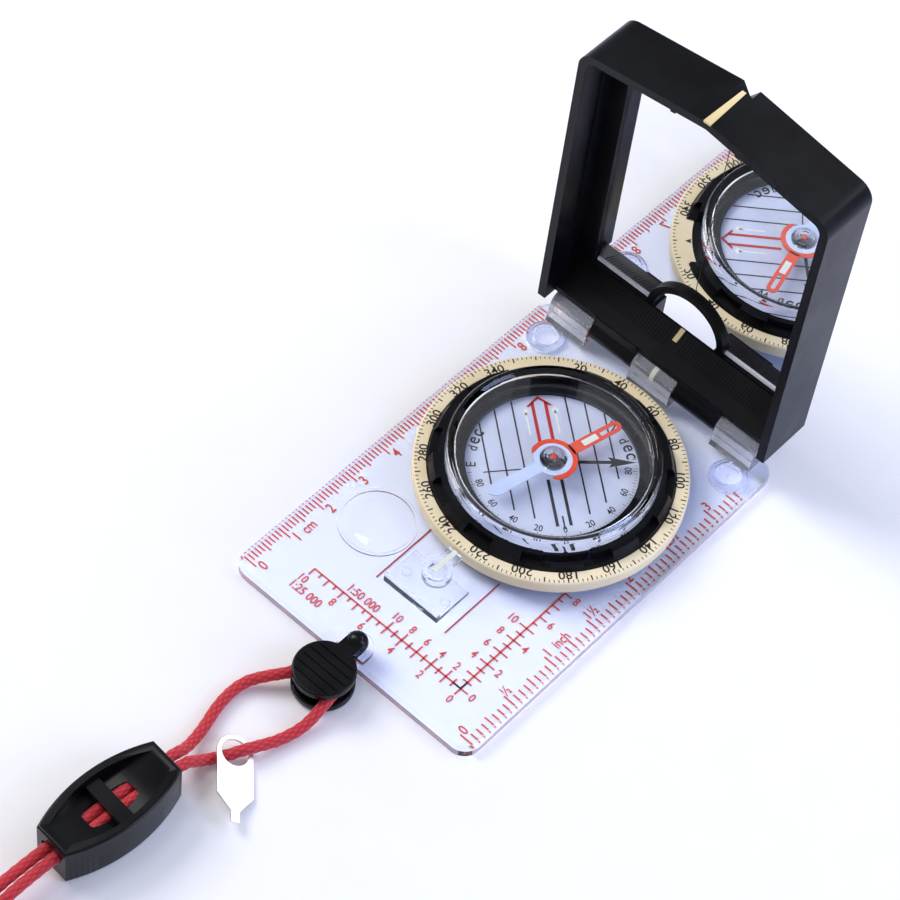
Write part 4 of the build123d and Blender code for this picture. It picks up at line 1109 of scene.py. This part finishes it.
    def build(self) -> None:
        """Makes the plate's pieces."""
        plate = softened("baseplate_clear", "baseplate", 0.18, Body.PLATE, self.finishes.acrylic)
        self.finish_faces(plate)
        softened("index_bracket_clear", "index_bracket", 0.12, Body.PLATE, self.finishes.capsule,
                 gap=AIR_GAP)
        self.pads()
        self.prints()
        repaint("index_line", self.finishes.luminous)
        repaint("hinge_line", self.finishes.luminous)
        repaint("hinge_pin", self.finishes.steel)


# ---- dial and capsule ----
@dataclass
class Dial:
    """Ivory scale ring, black grip ring, clear liquid-filled capsule and its retainer."""

    finishes: Finishes
    north: float = 138.0
    print_height: float = 0.03
    tick: float = 0.17
    bold_tick: float = 0.27
    tick_margin: float = 0.38
    number_margin: float = 2.15
    number_height: float = 1.95
    capsule_wall: float = 1.2
    rim_height: float = 0.7
    roof_thickness: float = 1.1
    liquid_gap: float = 0.03
    tab_half: float = 14.5
    tab_radius: float = 24.5

    def bearing(self, angle: float | np.ndarray) -> float | np.ndarray:
        """Args: angle, a bearing in degrees clockwise from north. Returns: it anticlockwise from +X."""
        return self.north - angle

    def ring_print(self) -> None:
        """Black degree scale on the ivory ring: a tick each 2 degrees and a number each 20."""
        low, high = Space.box("dial_ring")
        top, rim = high[2], (high[0] - low[0]) / 2
        z0, z1 = top + 0.002, top + self.print_height
        every = np.arange(0, 360, 2)
        angle = np.radians(self.bearing(every))
        ray = np.stack([np.cos(angle), np.sin(angle)], axis=1)
        length = np.where(every % 20 == 0, 0.95, np.where(every % 10 == 0, 1.15, 0.62))[:, None]
        outer = rim - self.tick_margin
        width = np.where(every % 10 == 0, self.bold_tick, self.tick)
        marks = [bars(ray * (outer - length), ray * outer, width, z0, z1)]
        reach = rim - self.number_margin
        for value in range(20, 360, 20):
            a = radians(self.bearing(value))
            at = (reach * cos(a), reach * sin(a))
            marks.append(Lettering.place(str(value), self.number_height, at, degrees(a) - 90, z0, z1, 1.12))
        tip = np.array([[rim - 4.4, -0.62], [rim - 3.15, 0.0], [rim - 4.4, 0.62]])
        marks.append(prism(tip, z0, z1).turned(self.north))
        piece("degree_scale_print", Patch.join(marks), Body.DIAL, self.finishes.black_ink)
        window = bars([[-25.9, -1.9]], [[-25.9, 1.9]], 0.55, 0, self.print_height)
        window = window.moved(0, 0, top - 1.6).turned(self.north)
        piece("window_mark_print", window, Body.DIAL, self.finishes.red_ink)

    def cover(self) -> None:
        """Clear capsule top: a hollow profile with a double bead round its rim, turned."""
        low, high = Space.box("capsule_cover")
        radius, bottom, top = (high[0] - low[0]) / 2 - AIR_GAP, low[2], high[2]
        bore, roof = radius - self.capsule_wall, top - self.rim_height
        under = roof - self.roof_thickness
        outline = [(0.02, under), (bore - 0.9, under), (bore, under - 0.8), (bore, bottom), (radius, bottom),
                   (radius, top - 0.5), (radius - 0.45, top), (radius - 1.15, top), (radius - 1.45, top - 0.3),
                   (radius - 1.9, roof), (0.02, roof)]
        radii = [0, 0.5, 0.4, 0.05, 0.05, 0.35, 0.3, 0.25, 0.15, 0.3, 0]
        obj = piece("capsule_top_clear", lathe(rounded(outline, radii, 5), 160), Body.DIAL,
                    self.finishes.capsule, TURNED_SHARP)
        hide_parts("capsule_cover")
        self.liquid(bore - self.liquid_gap, bottom + 1.05, under - self.liquid_gap)

    def liquid(self, radius: float, step: float, top: float) -> None:
        """Fills the capsule, narrower inside the base's collar than above it.

        Args: radius, top, those of the cover's inside less a gap; step, the height of the collar.
        """
        floor, collar = Space.box("capsule_base")[0][2] + 1.25, 19.95
        inner = [(0.02, floor), (collar, floor), (collar, step), (radius, step), (radius, top - 0.8),
                 (radius - 0.9, top), (0.02, top)]
        turned = lathe(rounded(inner, [0, 0.1, 0.1, 0.1, 0.4, 0.5, 0], 4), 128)
        piece("damping_liquid_fill", turned, Body.DIAL, self.finishes.liquid, TURNED_SHARP)

    def open_window(self, points: np.ndarray) -> np.ndarray:
        """Lowers the grip ring's inner wall at north, so that the ivory tab shows over it.

        A point within half a window of north, inside the tab's radius and over the scale, goes down to
        the scale's height.
        Args: points, N by 3 in millimetres. Returns: the points.
        """
        scale = Space.box("dial_ring")[1][2]
        radius = np.hypot(points[:, 0], points[:, 1])
        angle = np.degrees(np.arctan2(points[:, 1], points[:, 0]))
        off_north = np.abs((angle - self.north + 180) % 360 - 180)
        inside = (off_north < self.tab_half) & (radius < self.tab_radius) & (points[:, 2] > scale)
        moved = points.copy()
        moved[inside, 2] = scale
        return moved

    def build(self) -> None:
        """Makes the dial's pieces."""
        softened("scale_ring", "dial_ring", 0.12, Body.DIAL, self.finishes.ivory)
        softened("finger_ring", "grip_ring", 0.14, Body.DIAL, self.finishes.abs,
                 shape=self.open_window)
        self.ring_print()
        self.cover()
        repaint("capsule_base", self.finishes.capsule)
        repaint("capsule_seal", self.finishes.rubber)
        softened("retainer_ring_black", "retainer_ring", 0.1, Body.DIAL, self.finishes.abs)
        repaint("pivot_post", self.finishes.steel)


@dataclass
class OrientingCard:
    """Printed disc in the capsule: meridian lines, orienting arrow and clinometer scale."""

    finishes: Finishes
    north: float = 141.0
    thick: float = 0.03
    meridians: tuple = ((5.8, -12.7), (9.7, -10.2), (13.4, -4.6))
    meridian_width: float = 0.36
    pair_x: float = 1.42
    pair_width: float = 0.68
    arrow_width: float = 0.72
    dot_x: float = 3.15
    tooth_pitch: float = 5.0
    tooth_width: float = 0.62

    def __post_init__(self) -> None:
        """Takes the disc's top and radius from the frame."""
        low, high = Space.box("orienting_disc")
        self.top, self.radius = high[2], (high[0] - low[0]) / 2

    def lay(self, patches: list) -> Patch:
        """Args: patches drawn with north along +Y. Returns: them on the disc, north where it stands."""
        return Patch.join(patches).turned(self.north - 90)

    def stripe(self, x0: float, y0: float, x1: float, y1: float, width: float) -> Patch:
        """Args: two ends and a width. Returns: a printed line, north along +Y."""
        return bars([[x0, y0]], [[x1, y1]], width, self.top + 0.002, self.top + self.thick)

    def black(self) -> list:
        """Returns: meridian lines, the double and cross lines, the clinometer scale and the letters."""
        reach = self.radius - 1.2
        marks = []
        for x, low in self.meridians:
            end = float(np.sqrt((self.radius - 0.1) ** 2 - x ** 2))
            marks += [self.stripe(side * x, low, side * x, end, self.meridian_width) for side in (-1, 1)]
        marks += [self.stripe(x, -3.3, x, 2.0 - reach, self.pair_width) for x in (-self.pair_x, self.pair_x)]
        marks.append(self.stripe(-14.6, -0.2, -6.2, -0.2, 0.3))
        marks.append(self.stripe(0.0, -12.6, 0.0, -reach + 1.2, self.meridian_width))
        low, high = self.top + 0.002, self.top + self.thick
        angle = np.radians(270 + np.arange(-90, 91, 2.5))
        ray = np.stack([np.cos(angle), np.sin(angle)], axis=1)
        length = np.where(np.arange(len(angle)) % 4 == 0, 1.0, 0.5)[:, None]
        marks.append(bars(ray * (reach + 0.9 - length), ray * (reach + 0.9), 0.1, low, high))
        for value in range(-80, 81, 20):
            a = radians(270 + value)
            at = ((reach - 1.1) * cos(a), (reach - 1.1) * sin(a))
            marks.append(Lettering.place(str(abs(value)), 1.6, at, degrees(a) + 90, low, high, 0.85))
        for words, start in (("E dec", 173.0), ("W dec", 31.0)):
            for count, letter in enumerate(words):
                if letter != " ":
                    place = start - 7.0 * count
                    a = radians(place)
                    at = ((reach - 0.1) * cos(a), (reach - 0.1) * sin(a))
                    marks.append(Lettering.place(letter, 2.1, at, place - 90, low, high, 0.9))
        return marks

    def arrow(self) -> Patch:
        """Returns: the orienting arrow's two shafts and its hollow head."""
        tip = self.radius - 0.15
        head = prism(np.array([[-2.9, tip - 2.6], [-2.2, tip - 2.75], [0, tip - 0.8], [2.2, tip - 2.75],
                               [2.9, tip - 2.6], [0, tip]]), self.top + 0.002, self.top + self.thick)
        shafts = [self.stripe(x, 4.6, x, tip - 1.6, self.arrow_width) for x in (-self.pair_x, self.pair_x)]
        return self.lay(shafts + [head])

    def dots(self) -> Patch:
        """Returns: a luminous dot with its tail on each side of the arrow."""
        parts = []
        for x in (-self.dot_x, self.dot_x):
            parts.append(prism(arc(0.75, 0, 350, 35, (x, 14.2)), self.top + 0.002, self.top + self.thick))
            parts.append(self.stripe(x, 14.0, x, 8.2, 0.42))
        return self.lay(parts)

    def build(self) -> None:
        """Makes the card's pieces, and the toothed ring round it."""
        ink = self.finishes
        body = Body.DECLINATION
        repaint("orienting_disc", ink.film)
        softened("toothed_ring", "declination_ring", 0.05, body, ink.abs, 1)
        angle = np.radians(np.arange(0, 360, self.tooth_pitch))
        ray = np.stack([np.cos(angle), np.sin(angle)], axis=1)
        top = Space.box("declination_ring")[1][2]
        ribs = bars(ray * (self.radius + 0.02), ray * (self.radius + 0.6), self.tooth_width,
                    self.top + 0.1, top - 0.15)
        piece("toothed_ring_ribs", ribs, body, ink.abs)
        piece("card_black_print", self.lay(self.black()), body, ink.black_ink)
        piece("orienting_arrow_print", self.arrow(), body, ink.deep_red)
        piece("luminous_dots", self.dots(), body, ink.luminous)
        repaint("declination_pinion", ink.brass)


@dataclass
class Needle:
    """Orange and pale needle on its clear hub, and the clinometer pointer under it."""

    finishes: Finishes
    direction: float = 77.0
    arm: float = 2.7
    ring_inner: float = 4.05
    ring_outer: float = 5.15
    ring_open: float = 104.0
    arm_start: float = 4.6
    arm_end: float = 17.4
    slot_start: float = 12.2
    slot_half: float = 0.5
    horn: float = 14.0
    window: tuple = (7.6, 11.4)
    window_half: float = 0.72
    hub_radius: float = 2.9

    def north_half(self) -> None:
        """Orange arm with a sight slot in its rounded end, and an open ring with pointed horns."""
        low, high = Space.box("needle_south")
        z0, z1 = low[2], high[2]
        reach = min(float(np.hypot(*np.abs(Space.box("needle_north")[1][:2]))), self.arm_end)
        half, slot, start = self.arm / 2, self.slot_half, self.slot_start
        slot_end = reach - 0.95
        parts = []
        for side in (-1, 1):
            inner = arc(slot, 90, 0, 8, (slot_end - slot, 0)) * [1, side]
            outer = arc(half, 0, 90, 12, (reach - half, 0)) * [1, side]
            foot = [[self.arm_start, 0.0], [start, 0.0], [start, side * slot]]
            parts.append(prism(np.concatenate([foot, inner, outer, [[self.arm_start, side * half]]]), z0, z1))
        parts.append(prism(self.ring(), z0, z1))
        obj = piece("needle_orange_half", Patch.join(parts).turned(self.direction), Body.NEEDLE,
                    self.finishes.orange)
        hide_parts("needle_north")
        (x0, x1), y = self.window, self.window_half
        window = prism(rounded([(x0, -y), (x1, -y), (x1, y), (x0, y)], 0.15, 2), z1, z1 + 0.04)
        piece("needle_luminous_window", window.turned(self.direction), Body.NEEDLE, self.finishes.luminous)

    def ring(self) -> np.ndarray:
        """Outline of the open ring round the hub.

        At the angle a its edges stand at the middle radius plus and less half its width. That half
        narrows in a straight line over the last degrees before each end, down to a twentieth.
        Returns: the outline.
        """
        end = 180 - self.ring_open / 2
        turn = np.linspace(-end, end, 60)
        share = np.minimum(1.0, (end - np.abs(turn)) / self.horn + 0.05)
        width = 0.5 * (self.ring_outer - self.ring_inner) * share[:, None]
        middle = (self.ring_outer + self.ring_inner) / 2
        ray = np.stack([np.cos(np.radians(turn)), np.sin(np.radians(turn))], axis=1)
        return np.concatenate([ray * (middle + width), (ray * (middle - width))[::-1]])

    def hub(self) -> None:
        """Clear hub with a dimpled crown, and the bearing's small bright jewel in the dimple."""
        low, high = Space.box("needle_cap")
        radius, z0, z1 = self.hub_radius, low[2], high[2]
        x, y = (low[0] + high[0]) / 2, (low[1] + high[1]) / 2
        outline = [(0.78, z0), (radius, z0), (radius, z1 - 0.7), (radius - 0.7, z1), (1.5, z1),
                   (0.9, z1 - 0.5), (0.03, z1 - 0.6), (0.03, z1 - 0.95), (0.7, z1 - 1.0)]
        obj = piece("needle_hub_clear", lathe(rounded(outline, 0.25, 4), 72, (x, y)), Body.NEEDLE,
                    self.finishes.capsule, TURNED_SHARP)
        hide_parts("needle_cap")
        jewel = [(0.03, z1 - 0.58), (0.62, z1 - 0.55), (0.62, z1 - 0.4), (0.03, z1 - 0.32)]
        piece("needle_bearing_jewel", lathe(rounded(jewel, 0.06, 3), 40, (x, y)), Body.NEEDLE,
              self.finishes.orange, TURNED_SHARP)

    def build(self) -> None:
        """Makes the needle's pieces."""
        self.north_half()
        softened("needle_pale_half", "needle_south", 0.06, Body.NEEDLE, self.finishes.pale)
        self.hub()
        repaint("needle_magnets", self.finishes.steel)
        repaint("clinometer_pointer", self.finishes.black_ink)


# ---- lid ----
@dataclass
class Lid:
    """Black lid with its mirror, ribbed base bar, sighting hole and cream sight marks."""

    finishes: Finishes
    rib_pitch: float = 0.75
    rib_width: float = 0.26
    rib_height: float = 0.16
    rib_foot: tuple = (36.6, 13.63)
    rib_head: tuple = (40.6, 16.12)
    rib_x: tuple = (2.0, 25.0)
    wall: float = 2.0
    ledge_rise: float = 0.42
    ledge_foot: float = 17.0
    gable_foot: float = 85.5
    step_x: float = 8.0
    sill_x: float = 17.6
    sill_half: float = 7.3
    line_half: float = 0.09
    line_foot: float = 27.6

    def ribs(self) -> Patch:
        """Fine ribs down the slope of the base bar, each side of the cream mark.

        A rib is a bar across X, lifted to the slope: z = z0 + (y - y0) (z1 - z0) / (y1 - y0).
        Returns: the ribs.
        """
        (y0, z0), (y1, z1) = self.rib_foot, self.rib_head
        x = np.arange(*self.rib_x, self.rib_pitch)
        x = np.concatenate([-x, x])
        starts = np.stack([x, np.full(len(x), y0)], axis=1)
        ends = np.stack([x, np.full(len(x), y1)], axis=1)
        flat = bars(starts, ends, self.rib_width, 0.0, self.rib_height)
        share = (flat.points[:, 1] - y0) / (y1 - y0)
        flat.points[:, 2] += z0 + share * (z1 - z0) - 0.05
        return flat

    def ledges(self) -> list:
        """Returns: a narrow upright ledge on the inside of each side wall."""
        high = Space.box("lid_frame")[1]
        inside, front = high[0] - self.wall, Space.box("mirror")[0][1]
        parts = []
        for side in (-1, 1):
            near, far = sorted((side * (inside + 0.02), side * (inside - self.ledge_rise)))
            parts.append(block((near, front - 5.2, self.ledge_foot), (far, front - 4.6, high[2] - 8.6)))
        return parts

    def steps(self) -> list:
        """Small steps under the top rim. A point at x is lowered by the gable's slope times |x|.

        Returns: the steps.
        """
        low, high = Space.box("lid_frame")
        slope = (high[2] - self.gable_foot) / high[0]
        parts = []
        for x in (-self.step_x, self.step_x):
            step = block((x - 0.6, low[1], 0.0), (x + 0.6, low[1] + 1.1, 0.42))
            step.points[:, 2] += high[2] - self.wall - slope * np.abs(step.points[:, 0]) - 0.4
            parts.append(step)
        return parts

    def details(self) -> None:
        """Ledges inside the side walls, steps under the top rim, white bars painted as the mirror's edge
        highlight, and the sight line.
        """
        mirror_low, mirror_high = Space.box("mirror")
        front, half = mirror_low[1], self.sill_half
        piece("lid_ledges_and_steps", Patch.join(self.ledges() + self.steps()), Body.LID, self.finishes.abs)
        # White bars just in front of the mirror's lower edge: a painted highlight of its bevelled edge, not a
        # part of the lid.
        edge_highlights = [block((x - half, front - 0.3, 17.05), (x + half, front - 0.003, 17.9))
                 for x in (-self.sill_x, self.sill_x)]
        piece("mirror_edge_highlights", Patch.join(edge_highlights), Body.LID, self.finishes.sill)
        line = block((-self.line_half, front - 0.03, self.line_foot),
                     (self.line_half, front - 0.002, mirror_high[2] - 0.4))
        piece("mirror_sight_line", line, Body.LID, self.finishes.black_ink)

    def build(self) -> None:
        """Makes the lid's pieces."""
        softened("lid_shell", "lid_frame", 0.35, Body.LID, self.finishes.abs, 3)
        piece("lid_bar_ribs", self.ribs(), Body.LID, self.finishes.abs)
        self.details()
        repaint("mirror", self.finishes.mirror)
        repaint("lid_sight_line", self.finishes.cream)
        repaint("lid_base_mark", self.finishes.cream)


def main() -> None:
    """Builds the compass and its studio."""
    logging.basicConfig(level=logging.INFO, format="%(message)s")
    Studio().build()
    finishes = Finishes()
    for part in (Lanyard(finishes), Baseplate(finishes), Dial(finishes), OrientingCard(finishes),
                 Needle(finishes), Lid(finishes)):
        part.build()


if __name__ == "__main__":
    main()
